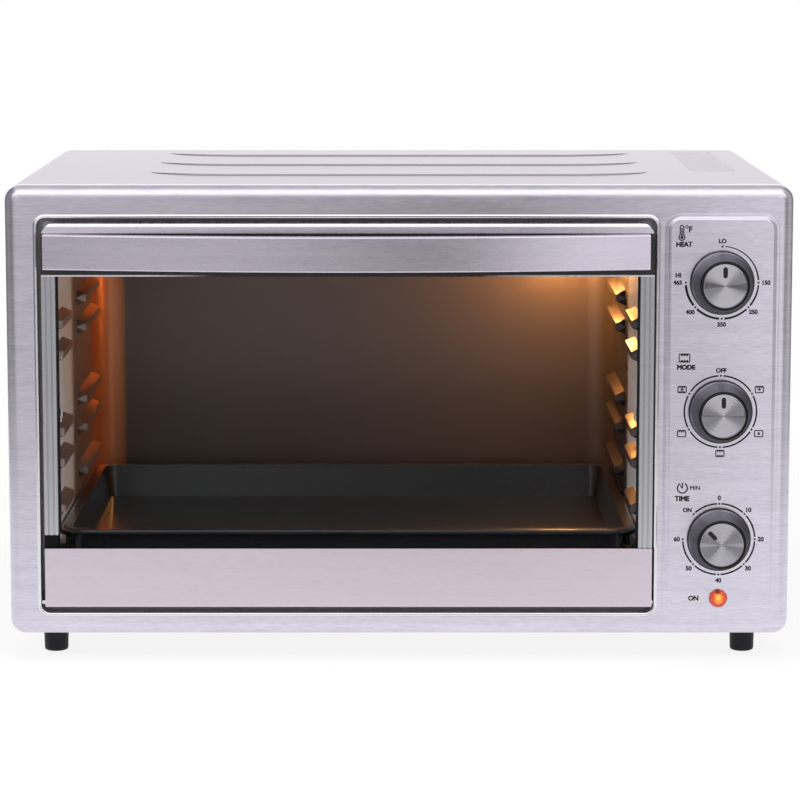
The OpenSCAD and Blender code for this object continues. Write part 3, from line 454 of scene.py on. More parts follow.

# %% [markdown]
# Heat leaves its own colours. Heater sheaths turn blue and brown in bands. The sheet of the cavity
# browns behind the door. The pale strip near the front is painted light, where light from outside
# falls on the walls. The orange band in the left rear corner is a painted reflection of the bulb's
# glow. Each is mixed in by place, so it follows the sheet round its bends. The motor's core is a pile
# of thin plates, and a sine across it draws their edges.

# %% Metals that heat and work have marked, and painted light in the cavity
# Painted light: the pale, less metallic strip near the front of the cavity, where light from outside
# falls.
PAINTED_LIT_FRONT = (0.78, 0.85, 0.93, 1)
# Painted reflection: the orange glow of the bulb in the left rear corner.
PAINTED_CORNER_GLOW = (0.66, 0.25, 0.11, 1)
BACK_ROUND_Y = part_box("back_liner")[0].y - 0.5 * MM
GUIDE_STANDS_OFF = 0.8 * MM
LIT_STRIP_FADE = [(0.43, 0.0), (0.49, 1.0)]
STRIP_WAVER = 0.04
CORNER_GLOW_FADE = [(0.19, 0.0), (0.23, 1.0)]
PLATE = MM


def heat_tinted(name):
    shader = finish_shader(name)
    bands = shader.noise((30, 6, 6), detail=2.0)
    colour = shader.ramp(bands, [
        (0.3, (0.10, 0.085, 0.08)), (0.55, (0.17, 0.13, 0.11)), (0.75, (0.12, 0.12, 0.15))])
    return shader.finish(shader.principled(
        base_color=colour, metallic=0.8, roughness=bands * 0.2 + 0.35))


def laminated(name):
    shader = finish_shader(name)
    turns = shader.place("X") * (2 * math.pi / PLATE)
    stripe = shader.node("ShaderNodeMath", {"operation": "SINE"}, {0: turns}) * 0.5 + 0.5
    return shader.finish(shader.principled(
        base_color=shader.mix(stripe, (0.10, 0.10, 0.11, 1), (0.34, 0.34, 0.36, 1)),
        metallic=0.7,
        roughness=0.5 - stripe * 0.1))


def either(first, second):
    return first + second - first * second


def browned_with_painted_light(name, stain_and_painted_light, wall_x=None, inward=1):
    shader = finish_shader(name)
    cloud = shader.noise((60, 60, 60))
    depth = shader.place("Y")
    wavering = depth * 2.5 + 0.5 + (cloud - 0.5) * STRIP_WAVER
    # Behind this ramp the sheet is stained, and in front of it the painted lit strip shows. Guides
    # standing off the wall stay stained.
    inside = shader.ramp(wavering, LIT_STRIP_FADE)
    if wall_x is not None:
        inside = either(inside, (shader.place("X") - wall_x) * inward > GUIDE_STANDS_OFF)
    # Mask of the painted reflection of the bulb's glow in the left rear corner.
    left = shader.ramp(shader.place("X") * -10 - 2.0, CORNER_GLOW_FADE)
    stain_and_corner_glow = shader.mix(left * (depth > BACK_ROUND_Y), tone(stain_and_painted_light), PAINTED_CORNER_GLOW)
    return shader.finish(shader.principled(
        base_color=shader.mix(inside, PAINTED_LIT_FRONT, stain_and_corner_glow),
        metallic=inside * 0.6 + 0.1,
        roughness=cloud * 0.12 + 0.3))


finishes.update({
    "liner": browned_with_painted_light("liner", (0.17, 0.135, 0.12)),
    "heater": heat_tinted("heater"),
    "motor": laminated("motor"),
})
print("with marked metals:", len(finishes))

# %% [markdown]
# Plastics, enamel and ceramic are not metal: their colour is their own and only a thin skin of
# them shines. Fine noise in the bump gives moulded plastic its grain, and a coat gives enamel
# the wet look of fired glass. The pane lets light straight through and mixes in a clear shine
# where Fresnel asks for it, which is quicker than bent light and looks the same on a thin sheet.

# %% Other finishes
PANEL_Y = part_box("fascia")[0].y
KNOB_RIM = 22.2 * MM
PANE_IOR = 1.45


def moulded(name, colour, rough, grain=2500, depth=0.08, coat=0.0, shine=0.5):
    shader = finish_shader(name)
    skin = shader.noise((grain, grain, grain), detail=2.0)
    return shader.finish(shader.principled(
        base_color=shader.mix(skin, tone(colour, 0.85), tone(colour, 1.15)),
        roughness=uneven(skin, rough),
        specular_ior_level=shine,
        coat_weight=coat,
        coat_roughness=0.08,
        normal=shader.bump(skin, depth, 0.0002)))


def enamel(name):
    shader = finish_shader(name)
    speck = shader.noise((1800, 1800, 1800), detail=1.0)
    fleck = shader.ramp(speck, [(0.70, 0.0), (0.78, 1.0)])
    return shader.finish(shader.principled(
        base_color=shader.mix(fleck, (0.005, 0.0055, 0.007, 1), (0.03, 0.03, 0.034, 1)),
        roughness=speck * 0.15 + 0.22,
        coat_weight=0.6,
        coat_roughness=0.12))


def clear_pane(name, tint):
    shader = finish_shader(name)
    through = shader.node("ShaderNodeBsdfTransparent", sockets={"Color": (*tint, 1)})
    haze = shader.noise((40, 40, 40))
    skin = shader.principled(base_color=(0.02, 0.02, 0.02, 1), roughness=haze * 0.04 + 0.02)
    outside = 1 - shader.node("ShaderNodeNewGeometry", out="Backfacing")
    gloss = shader.node("ShaderNodeFresnel", sockets={"IOR": PANE_IOR}) * outside
    return shader.finish(
        shader.node("ShaderNodeMixShader", sockets={0: gloss, 1: through, 2: skin}))


def glowing(name, colour, glow, strength):
    shader = finish_shader(name)
    cloud = shader.noise((400, 400, 400))
    return shader.finish(shader.principled(
        base_color=shader.mix(cloud, tone(colour, 0.9), tone(colour, 1.1)),
        roughness=0.2,
        emission_color=shader.mix(cloud, tone(glow, 0.85), tone(glow)),
        emission_strength=strength))


finishes.update({
    "enamel": enamel("enamel"),
    "ceramic": moulded("ceramic", (0.78, 0.75, 0.68), 0.45, grain=900, coat=0.2),
    "pane": clear_pane("pane", (0.95, 0.955, 0.96)),
    "lamp_glass": glowing("lamp_glass", (1.0, 0.85, 0.6), (1.0, 0.62, 0.25), 6.0),
    "jewel": glowing("jewel", (0.8, 0.1, 0.03), (1.0, 0.25, 0.05), 1.0),
    "knob": gunmetal(
        "knob", (0.37, 0.37, 0.395), edge=(0.22, 0.22, 0.23), rough=0.32, rim_y=PANEL_Y - KNOB_RIM),
    "black_plastic": moulded("black_plastic", (0.012, 0.012, 0.014), 0.45, shine=0.2),
    "foot": moulded("foot", (0.020, 0.020, 0.026), 0.5, shine=0.2),
    "gasket": moulded("gasket", (0.34, 0.33, 0.34), 0.4),
})


def dress(node, finish):
    slots = frame["nodes"][node].data.materials
    slots.clear()
    slots.append(finish)


for part in frame["record"]["subparts"]:
    dress(part["node"], finishes[part["material_slot"]])
dress("door_bottom_strip", brushed("door_strip", STRIP, contrast=0.12, rough=0.34))
for side in ("left", "right"):
    black = moulded(f"hinge_black_{side}", (0.006, 0.006, 0.007), 0.6, shine=0.03)
    dress(f"hinge_block_{side}", black)
print("finishes:", len(finishes))

# %% [markdown]
# The slots in the cover were punched after the sheet was finished, so their cut walls are bare and
# matt. They could be pieces of their own, but they belong to the cover's solid. They lie lower than
# its face and away from its bent sides, which is how the finish finds them.

# %% Cover with punched slots
COVER_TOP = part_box("fascia")[1].z
COVER_BEND = 13 * MM
COVER_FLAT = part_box("fascia")[1].x - COVER_BEND
UNDER_FACE = 0.05 * MM
BARE_CUT = (0.84, 0.79, 0.86, 1)


def punched(name):
    shader = finish_shader(name)
    inputs = brushed_inputs(shader, COVER, **HOUSING_BRUSH)
    across = shader.place("X")
    below = shader.place("Z") < COVER_TOP - UNDER_FACE
    bare = below * (across < COVER_FLAT) * (across > -COVER_FLAT)
    inputs["base_color"] = shader.mix(bare, inputs["base_color"], BARE_CUT)
    return shader.finish(shader.principled(metallic=1 - bare, **inputs))


dress("top_cover", punched("punched_cover"))
print("cover face at", round(COVER_TOP, 4))

# %% [markdown]
# The top rail is steel along its rolled upper edge and near the ends of its lower lip. The recess
# behind the handle and the middle of the lip are painted near-black: painted shade where the handle
# shadows the rail. One solid carries both, so its finish is mixed by height, depth and distance from
# the middle.

# %% Rail with painted shade behind the handle
rail_low, rail_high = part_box("door_top_rail")
handle_low, handle_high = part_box("door_handle")
RAIL = tone(ROSY, 1.3)[:3]
RAIL_BRUSH = {"grain": (190, 60, 1500), "contrast": 0.16, "rough": 0.28}
PAINTED_HANDLE_SHADE = (0.012, 0.012, 0.014, 1)
LIP_HEIGHT = 0.0011
RECESS_TOP = handle_high.z + 0.0002
RECESS_FACE = rail_low.y + 0.0008
MIDDLE_SCALE, MIDDLE_SHADE_FADE = 40, [(0.35, 1.0), (0.8, 0.0)]


def rail_with_painted_shade(name):
    shader = finish_shader(name)
    height = shader.place("Z")
    across = shader.place("X") - (handle_low.x + handle_high.x) / 2
    # Painted shade: the middle of the lower lip is darkened where the bowed handle shades it.
    middle = shader.ramp(across * across * MIDDLE_SCALE, MIDDLE_SHADE_FADE)
    behind = (height < RECESS_TOP) * (shader.place("Y") < RECESS_FACE)
    # Painted shade: near-black, not metal, behind the handle and on the lip's middle.
    handle_shade = behind * either(height > rail_low.z + LIP_HEIGHT, middle)
    inputs = brushed_inputs(shader, RAIL, **RAIL_BRUSH)
    inputs["base_color"] = shader.mix(handle_shade, inputs["base_color"], PAINTED_HANDLE_SHADE)
    return shader.finish(shader.principled(metallic=1 - handle_shade, **inputs))


dress("door_top_rail", rail_with_painted_shade("rail"))
print("rail from", round(rail_low.z, 4), "to", round(rail_high.z, 4))

# %% [markdown]
# The aluminium channels beside the glass have two grooves along their face, and the solid has them
# too. The shade in the grooves is painted: the finish turns darker wherever the surface lies behind
# the channel's front.

# %% Grooved channels
channel_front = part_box("door_channel_left")[0].y
GROOVE_FLOOR = channel_front + 0.0004
GROOVE_SHADE = (0.8, 0.8, 0.82, 1)
DULL_GREY = tone(GREY, 0.87)[:3]


def grooved(name):
    shader = finish_shader(name)
    inputs = brushed_inputs(shader, DULL_GREY, **CHANNEL_BRUSH)
    # Painted shade in the grooves.
    shade = shader.mix(shader.place("Y") > GROOVE_FLOOR, WHITE, GROOVE_SHADE)
    inputs["base_color"] = shader.node(
        "ShaderNodeMix", {"data_type": "RGBA", "blend_type": "MULTIPLY"},
        {0: 1.0, 6: inputs["base_color"], 7: shade}, out=2)
    return shader.finish(shader.principled(metallic=1.0, **inputs))


for side in ("left", "right"):
    dress(f"door_channel_{side}", grooved(f"channel_{side}"))
print("channel front at", round(channel_front, 4))

# %% [markdown]
# Most pieces of the front are drawn flat and then stood up against it. Turned ones like knobs start
# from half a section, which is easier to read and change than stacked cylinders. Spin turns it
# around an axis in one step, merging the start and the end, so the surface has no seam. A section
# is a list of points in millimetres: distance from the axis, then height above the panel. Flat
# pieces get their thickness by one extrusion.

# %% Helpers for new pieces


def upright(at):
    return Matrix.Translation(at) @ Matrix.Rotation(math.radians(90), 4, "X")


def thicken(mesh, depth):
    made = bmesh.ops.extrude_face_region(mesh, geom=mesh.faces[:])
    bmesh.ops.translate(mesh, vec=(0, 0, depth), verts=verts_of(made))
    bmesh.ops.recalc_face_normals(mesh, faces=mesh.faces)


def spun(profile, at, steps=96):
    mesh = bmesh.new()
    points = [mesh.verts.new((radius * MM, 0, height * MM)) for radius, height in profile]
    edges = [mesh.edges.new(pair) for pair in zip(points, points[1:])]
    bmesh.ops.spin(
        mesh, geom=points + edges, cent=(0, 0, 0), axis=(0, 0, 1),
        angle=2 * math.pi, steps=steps, use_merge=True)
    bmesh.ops.remove_doubles(mesh, verts=mesh.verts, dist=1e-6)
    bmesh.ops.recalc_face_normals(mesh, faces=mesh.faces)
    mesh.transform(upright(at))
    return mesh


def finish_piece(name, mesh, material, body, replaced=(), sharp=35):
    for face in mesh.faces:
        face.smooth = True
    for edge in mesh.edges:
        if len(edge.link_faces) == 2 and edge.calc_face_angle() > math.radians(sharp):
            edge.smooth = False
    piece = link_mesh(name, mesh)
    piece.data.materials.append(material)
    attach(piece, body)
    if replaced:
        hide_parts(*replaced)
    print(name, len(piece.data.polygons), "faces on", body)
    return piece


print("piece helpers ready")

# %% [markdown]
# Rubber closes the oven: a flat grey gasket lies behind the gap around the door, and a black bead
# along each channel presses on the glass from behind. Both show only as thin lines, and those lines
# make the gaps look deep. The gasket could be swept along a path, but only its face is seen, so it
# is one face, rounded at its corners, inset, emptied and thickened.

# %% Gasket and glass beads
OPENING_LOW = Vector((-252.5, 0, 35.7)) * MM
OPENING_HIGH = Vector((179.5, 0, 315.5)) * MM
OPENING_CORNER = 6 * MM
FLANGE_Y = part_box("left_liner")[0].y
GASKET_WIDTH = 3.2 * MM
GASKET_THICK = 1.2 * MM
BEAD_RADIUS = 1.1 * MM
BEAD_FLAT = 0.3 * MM
BEAD_BACK = 1.4 * MM


def flat_face(mesh, width, length, place=Matrix()):
    bmesh.ops.create_grid(
        mesh, x_segments=1, y_segments=1, size=0.5,
        matrix=place @ Matrix.Diagonal((width, length, 1, 1)))


def frame_face(mesh, size, corner, width):
    old = set(mesh.faces)
    flat_face(mesh, *size)
    face = next(f for f in mesh.faces if f not in old)
    bmesh.ops.bevel(
        mesh, geom=face.verts[:], offset=corner, affect="VERTICES", segments=4, profile=0.5,
        material=-1)
    face = next(f for f in mesh.faces if f not in old)
    bmesh.ops.inset_region(
        mesh, faces=[face], thickness=width, use_even_offset=True, use_boundary=True)
    bmesh.ops.delete(mesh, geom=[face], context="FACES")


def gasket():
    mesh = bmesh.new()
    size = OPENING_HIGH - OPENING_LOW
    frame_face(mesh, (size.x, size.z), OPENING_CORNER, GASKET_WIDTH)
    thicken(mesh, GASKET_THICK)
    middle = (OPENING_LOW + OPENING_HIGH) / 2
    mesh.transform(upright((middle.x, FLANGE_Y, middle.z)))
    return mesh


def glass_bead(side):
    low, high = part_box(f"door_channel_{side}")
    edge, inward = (high.x, 1) if side == "left" else (low.x, -1)
    mesh = bmesh.new()
    bmesh.ops.create_circle(mesh, cap_ends=True, segments=24, radius=BEAD_RADIUS)
    for vert in mesh.verts:
        vert.co.x = max(vert.co.x, -BEAD_FLAT) * inward
    thicken(mesh, high.z - low.z)
    place = (edge + BEAD_FLAT * inward, high.y - BEAD_BACK, low.z)
    bmesh.ops.translate(mesh, vec=place, verts=mesh.verts)
    return mesh


finish_piece("opening_gasket", gasket(), finishes["gasket"], "oven_body")
for side in ("left", "right"):
    finish_piece(
        f"{side}_glass_bead", glass_bead(side), finishes["black_plastic"], "door")

# %% [markdown]
# The side walls are pressed from thin sheet, and a press can't make a sharp edge. Their solids are
# sharp, so a copy of each is merged, cleared of needless edges and bevelled along the rack guides.
# A Bevel modifier would round every edge of the sheet. Here only the guides' edges are picked, and
# they then catch the light of the bulb, as the real ones do.

# %% Pressed side walls
WALLS = {"left": (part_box("back_liner")[0].x, 1), "right": (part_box("back_liner")[1].x, -1)}
# Painted light and shade: both side walls are one sheet. The left gets a lighter tone and the right,
# beside the bulb, a darker one, to even out the bulb's light.
STAINS_WITH_PAINTED_LIGHT = {"left": (0.31, 0.24, 0.215), "right": (0.09, 0.072, 0.068)}
SHEET = 0.6 * MM
WALL_CLEAR = 0.4 * MM
GUIDE_ROUND = 1.9 * MM
GUIDE_ANGLE = math.radians(15)


def pressed_wall(side):
    wall_x, inward = WALLS[side]
    mesh = bmesh.new()
    mesh.from_mesh(frame["nodes"][f"{side}_liner"].data)
    bmesh.ops.remove_doubles(mesh, verts=mesh.verts, dist=1e-6)
    bmesh.ops.dissolve_limit(mesh, angle_limit=math.radians(1), verts=mesh.verts, edges=mesh.edges)
    raised = {v for v in mesh.verts if (v.co.x - wall_x) * inward > SHEET + WALL_CLEAR}
    edges = [
        e for e in mesh.edges
        if raised.intersection(e.verts) and e.calc_face_angle() > GUIDE_ANGLE]
    bmesh.ops.bevel(
        mesh, geom=edges, offset=GUIDE_ROUND, affect="EDGES", segments=4, profile=0.5, material=-1,
        clamp_overlap=True)
    print(side, "wall edges rounded:", len(edges))
    return mesh


# Each side wall's stain carries painted light or painted shade as well.
for side, stain_and_painted_light in STAINS_WITH_PAINTED_LIGHT.items():
    finish_piece(
        f"{side}_pressed_wall", pressed_wall(side), browned_with_painted_light(f"{side}_wall", stain_and_painted_light, *WALLS[side]),
        "oven_body", [f"{side}_liner"], sharp=40)

# %% [markdown]
# The control island is pressed out of the fascia over a soft edge, and the door opening has a small
# bead along its lip. The solid has a flat slope and a plain bend there. A thin shell laid over each
# gives it the roll: one rounded face is inset again and again, each time by a little and to a new
# height, and its middle is taken out. The lip is polished and not brushed, so it is the brightest
# line of the front.

# %% Rolled edges of the fascia
ISLAND_LOW = Vector((186.3, 0, 29.6)) * MM
ISLAND_HIGH = Vector((263.7, 0, 317.3)) * MM
ISLAND_CORNER = 10 * MM
FACE_Y = PANEL_Y + 2 * MM
SHELL = 0.12 * MM
ROLL = [
    (-1.25, 0.01), (-1.2, 0.38), (-1.1, 0.47), (-0.9, 0.51), (0.2, 0.57), (1.0, 0.66), (1.4, 0.85),
    (1.8, 1.25), (2.2, 1.62), (2.6, 1.90), (3.0, 2.02), (3.5, 2.05), (4.4, 2.015)]
LIP_BEAD = [
    (-2.3, 0.01), (-2.05, 0.1), (-1.7, 0.28), (-1.45, 0.40), (-1.25, 0.43), (-1.05, 0.39),
    (-0.7, 0.22), (-0.3, 0.0), (0.0, -0.25), (0.12, -0.5)]


def rolled_edge(corner_low, corner_high, corner, roll):
    mesh = bmesh.new()
    start, low = roll[0]
    size = corner_high - corner_low - 2 * start * MM * Vector((1, 0, 1))
    flat_face(mesh, size.x, size.z)
    bmesh.ops.bevel(
        mesh, geom=mesh.verts[:], offset=corner - start * MM, affect="VERTICES", segments=16,
        profile=0.5, material=-1)
    middle = mesh.faces[:]
    for (last, under), (across, height) in zip(roll, roll[1:]):
        bmesh.ops.inset_region(
            mesh, faces=middle, thickness=(across - last) * MM, depth=(height - under) * MM,
            use_even_offset=True, use_boundary=True)
    bmesh.ops.delete(mesh, geom=middle, context="FACES")
    bmesh.ops.solidify(mesh, geom=mesh.faces[:], thickness=SHELL)
    bmesh.ops.recalc_face_normals(mesh, faces=mesh.faces)
    centre = (corner_low + corner_high) / 2
    mesh.transform(upright((centre.x, FACE_Y - low * MM, centre.z)))
    return mesh


island = rolled_edge(ISLAND_LOW, ISLAND_HIGH, ISLAND_CORNER, ROLL)
lip = rolled_edge(OPENING_LOW, OPENING_HIGH, OPENING_CORNER, LIP_BEAD)
bright_lip = plain_metal("bright_lip", (0.80, 0.785, 0.82), 0.2)
for name, mesh, finish in (
        ("island_roll", island, finishes["stainless"]), ("opening_lip", lip, bright_lip)):
    finish_piece(name, mesh, finish, "oven_body", sharp=60)

# %% [markdown]
# A knob is a dark skirt that widens to a flange at the panel. Sixty fine ribs run up its cone for
# grip. A bump would do from the front, but not from the side, so the points between the ribs are
# drawn in by up to a tenth of a millimetre. A black ring sits under the flange and another around the
# cap, so the knob is drawn twice in thin black lines. Both rings are painted shade, for the gap at
# the panel and the groove around the cap. Each control is listed with the angle at which its pointer
# rests.

# %% Knob skirts
CONTROLS = {"temperature": 0, "function": 0, "timer": -45}
RIBS = 60
RIB_DEPTH = 0.1 * MM
CONE_INNER, CONE_OUTER, CONE_START = 0.0175, 0.0206, 0.005
SKIRT = [
    (0, 1.2), (21.2, 1.2), (21.7, 1.6), (21.8, 2.4), (21.5, 3.3), (20.9, 4.2), (20.5, 5.4),
    (17.5, 20.9), (17.3, 22.0), (17.0, 22.7), (16.6, 23.0), (16.1, 22.9), (15.95, 22.3), (0, 22.3)]
BASE_SHADOW_RING = [(18, 1.0), (21.9, 1.0), (22.3, 1.3), (22.4, 1.9), (22.2, 2.5), (21.9, 2.7), (18, 2.7)]
RIM_SHADOW_RING = [
    (15.0, 22.0), (16.0, 22.0), (16.0, 22.9), (15.9, 23.2), (15.7, 23.3), (15.5, 23.2),
    (15.42, 22.6), (15.0, 22.6)]


def axis_point(control):
    low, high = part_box(f"{control}_shaft")
    return Vector(((low.x + high.x) / 2, PANEL_Y, (low.z + high.z) / 2))


def draw_in_ribs(mesh, axis):
    for vert in mesh.verts:
        out = Vector((vert.co.x - axis.x, 0, vert.co.z - axis.z))
        if CONE_INNER < out.length < CONE_OUTER and vert.co.y < axis.y - CONE_START:
            turn = math.atan2(out.x, out.z) * RIBS
            vert.co -= out.normalized() * RIB_DEPTH * (0.5 + 0.5 * math.cos(turn))


for control in CONTROLS:
    skirt = spun(SKIRT, axis_point(control), steps=3 * RIBS)
    draw_in_ribs(skirt, axis_point(control))
    body = f"{control}_control"
    finish_piece(f"{control}_skirt", skirt, finishes["knob"], body, [f"{control}_knob"])
    # These black rings are painted shade: the line where the flange meets the panel, and the groove
    # around the cap.
    for ring, section in (("base", BASE_SHADOW_RING), ("rim", RIM_SHADOW_RING)):
        finish_piece(
            f"{control}_{ring}_ring", spun(section + section[:1], axis_point(control)),
            finishes["black_plastic"], body)

# %% [markdown]
# The cap is turned aluminium. Its bright and dark fans come from the fine rings that the lathe left.
# Anisotropic shading could give the fans, but the rings show close by as well, so they are modelled:
# a zigzag section, spun, with every ring's edge kept sharp. A Boolean cuts the pointer groove, and a
# dark inlay lies on its floor.

# %% Spun caps
CAP_FACE = 23.8
RING_START, RING_PITCH, RING_DEPTH = 0.35, 0.25, 0.152
GROOVE_WIDTH, GROOVE_LENGTH, GROOVE_HEIGHT = 3.2 * MM, 7.8 * MM, 23.0
INLAY_CLEAR, INLAY_HEIGHT = 0.1 * MM, 22.95
POINTER_REACH = 9.3 * MM
RINGS = [
    (RING_START + RING_PITCH * i, CAP_FACE - (RING_DEPTH + 0.02 * math.sin(1.3 * i)) * (i % 2))
    for i in range(58)]
CAP = [(0, 23.78), *RINGS, (14.95, 23.76), (15.2, 23.6), (15.35, 23.25), (15.4, 22.0), (0, 22.0)]


def stadium(width, length, depth):
    mesh = bmesh.new()
    bmesh.ops.create_circle(mesh, cap_ends=True, segments=32, radius=width / 2)
    for vert in mesh.verts:
        vert.co.y += math.copysign((length - width) / 2, vert.co.y)
    thicken(mesh, depth)
    return mesh


def pointer_place(control, height):
    turn = Matrix.Rotation(math.radians(-CONTROLS[control]), 4, "Z")
    reach = Matrix.Translation((0, POINTER_REACH, height * MM))
    return upright(axis_point(control)) @ turn @ reach


def cut(piece, cutter):
    tool = link_mesh("cutter", cutter)
    change = piece.modifiers.new("groove", "BOOLEAN")
    change.operation = "DIFFERENCE"
    change.object = tool
    evaluated = piece.evaluated_get(bpy.context.evaluated_depsgraph_get())
    result = bpy.data.meshes.new_from_object(evaluated)
    piece.modifiers.clear()
    piece.data = result
    bpy.data.objects.remove(tool)


for control in CONTROLS:
    body = f"{control}_control"
    cap = finish_piece(
        f"{control}_spun_cap", spun(CAP, axis_point(control)), finishes["cap"], body,
        [f"{control}_cap"], sharp=12)
    groove = stadium(GROOVE_WIDTH, GROOVE_LENGTH, 2 * MM)
    groove.transform(pointer_place(control, GROOVE_HEIGHT))
    cut(cap, groove)
    inlay = stadium(GROOVE_WIDTH - INLAY_CLEAR, GROOVE_LENGTH - INLAY_CLEAR, 0.3 * MM)
    inlay.transform(pointer_place(control, INLAY_HEIGHT))
    finish_piece(f"{control}_pointer", inlay, finishes["black_plastic"], body)

# %% [markdown]
# The power lamp is a red jewel over a small bulb. A cut jewel is a ball of flat facets, so an
# icosphere is pressed flat and sliced at the panel. Its glow runs from yellow over the bulb to
# deep red at the rim, by distance from the bulb, with one dark fleck near the top.

# %% Power lamp jewel
jewel_low, jewel_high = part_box("power_lamp_lens")
jewel_mid = (jewel_low + jewel_high) / 2
JEWEL_RADIUS = 6.8 * MM
JEWEL_PRESS = 0.85
GLOW_AT, GLOW_REACH = (0, 0.8), 7.6 * MM
FLECK_AT, FLECK_REACH = (-0.5, 5.6), 4 * MM
FLECK_FADE = [(0.3, 0.15), (0.6, 1.0)]
JEWEL_GLOW = [
    (0.05, (1.0, 0.62, 0.10)), (0.3, (1.0, 0.33, 0.04)), (0.5, (0.62, 0.09, 0.03)),
    (0.9, (0.26, 0.03, 0.03))]


def away_from(shader, right, up):
    spot = (jewel_mid.x + right * MM, 0, jewel_mid.z + up * MM)
    vector = "ShaderNodeVectorMath"
    offset = shader.node(vector, {"operation": "SUBTRACT"}, {0: shader.place(), 1: spot})
    return shader.length(shader.node(vector, {"operation": "MULTIPLY"}, {0: offset, 1: (1, 0, 1)}))


def jewel_finish(name):
    shader = finish_shader(name)
    ripple = shader.noise((600, 600, 600), detail=1.0)
    from_bulb = away_from(shader, *GLOW_AT) / GLOW_REACH + (ripple - 0.5) * 0.7
    from_fleck = away_from(shader, *FLECK_AT) / FLECK_REACH
    glow = shader.ramp(from_bulb, JEWEL_GLOW)
    lit = shader.mix(shader.ramp(from_fleck, FLECK_FADE), (0.03, 0.005, 0.005, 1), glow)
    return shader.finish(shader.principled(
        base_color=shader.mix(ripple, (0.10, 0.008, 0.006, 1), (0.22, 0.02, 0.015, 1)),
        roughness=0.06,
        emission_color=lit,
        emission_strength=0.95))


jewel = bmesh.new()
bmesh.ops.create_icosphere(jewel, subdivisions=2, radius=JEWEL_RADIUS)
bmesh.ops.scale(jewel, vec=(1, JEWEL_PRESS, 1), verts=jewel.verts)
bmesh.ops.translate(jewel, vec=(jewel_mid.x, PANEL_Y, jewel_mid.z), verts=jewel.verts)
bmesh.ops.bisect_plane(
    jewel, geom=jewel.verts[:] + jewel.edges[:] + jewel.faces[:], plane_co=(0, PANEL_Y, 0),
    plane_no=(0, 1, 0), clear_outer=True)
bmesh.ops.holes_fill(jewel, edges=[e for e in jewel.edges if e.is_boundary])
bmesh.ops.recalc_face_normals(jewel, faces=jewel.faces)
finish_piece(
    "power_jewel", jewel, jewel_finish("jewel_glow"), "oven_body", ["power_lamp_lens"],
    sharp=4)

# %% [markdown]
# The three steps on the cover are pressed into the sheet: straight at the front, rounded back at
# both ends, and fading out to the rear. The solid has a sharp front edge. A soft section laid over
# it gives the edge its roll: Spin with no angle and a small shift repeats the section across the
# cover, and each row is then moved back along the rounded end.

# %% Soft cover steps
STEP_HALF = 183
STEP_END = 61
STEP_TURN = 42
STEP_RUN = 46
STEP_RISE = 1.25
STEP_ROWS = 170
STEP_FRONTS = [-83, 22, 127]
STEP_SECTION = [
    (-1.3, -0.25), (-1.3, 0.0), (-0.9, 0.06), (-0.55, 0.25), (-0.25, 0.6), (0.05, 0.86), (0.5, 0.97),
    (1.2, 1.0), (8, 1.0), (20, 1.0), (34, 1.0), (STEP_RUN, 1.0), (STEP_RUN, -0.25)]


def cover_step(front):
    mesh = bmesh.new()
    points = [mesh.verts.new((-STEP_HALF, back, share)) for back, share in STEP_SECTION]
    edges = [mesh.edges.new(pair) for pair in zip(points, points[1:] + points[:1])]
    bmesh.ops.spin(
        mesh, geom=points + edges, cent=(0, 0, 0), axis=(0, 0, 1), angle=0, steps=STEP_ROWS,
        dvec=(2 * STEP_HALF / STEP_ROWS, 0, 0))
    for vert in mesh.verts:
        beyond = max(0.0, abs(vert.co.x) - (STEP_HALF - STEP_END)) / STEP_END
        bend = STEP_TURN * (1 - math.sqrt(max(0.0, 1 - beyond * beyond)))
        back = bend + vert.co.y * (1 - bend / STEP_RUN)
        rise = STEP_RISE * vert.co.z * (1 - back / STEP_RUN) if vert.co.z > 0 else vert.co.z
        vert.co = (vert.co.x, back, rise)
    bmesh.ops.holes_fill(mesh, edges=[e for e in mesh.edges if e.is_boundary])
    bmesh.ops.recalc_face_normals(mesh, faces=mesh.faces)
    mesh.transform(Matrix.Translation((0, front * MM, COVER_TOP)) @ Matrix.Scale(MM, 4))
    return mesh


for number, front in enumerate(STEP_FRONTS, 1):
    finish_piece(
        f"cover_step_{number}", cover_step(front), finishes["housing"], "oven_body")

# %% [markdown]
# Scales are screen-printed: flat ink a few hundredths of a millimetre thick. The panel's shader
# could paint them, but letters need clean outlines, which Blender's text gives. Everything is drawn
# flat first, in millimetres around a knob's axis, then given its thickness in one extrusion and
# stood up against the panel. Only plain numbers, ON, OFF, short words and simple signs are used.

# %% Ink drawing tools
INK = moulded("ink", (0.008, 0.007, 0.010), 0.6, grain=4000, depth=0.03, shine=0.2)
INK_THICK = 0.05
INK_SINK = 0.01
ANGLE_SLACK = 1


def dot(ink, at, radius):
    bmesh.ops.create_circle(
        ink, cap_ends=True, segments=20, radius=radius, matrix=Matrix.Translation((*at, 0)))


def bar(ink, at, size, turn=0.0):
    flat_face(
        ink, *size, Matrix.Translation((*at, 0)) @ Matrix.Rotation(math.radians(turn), 4, "Z"))


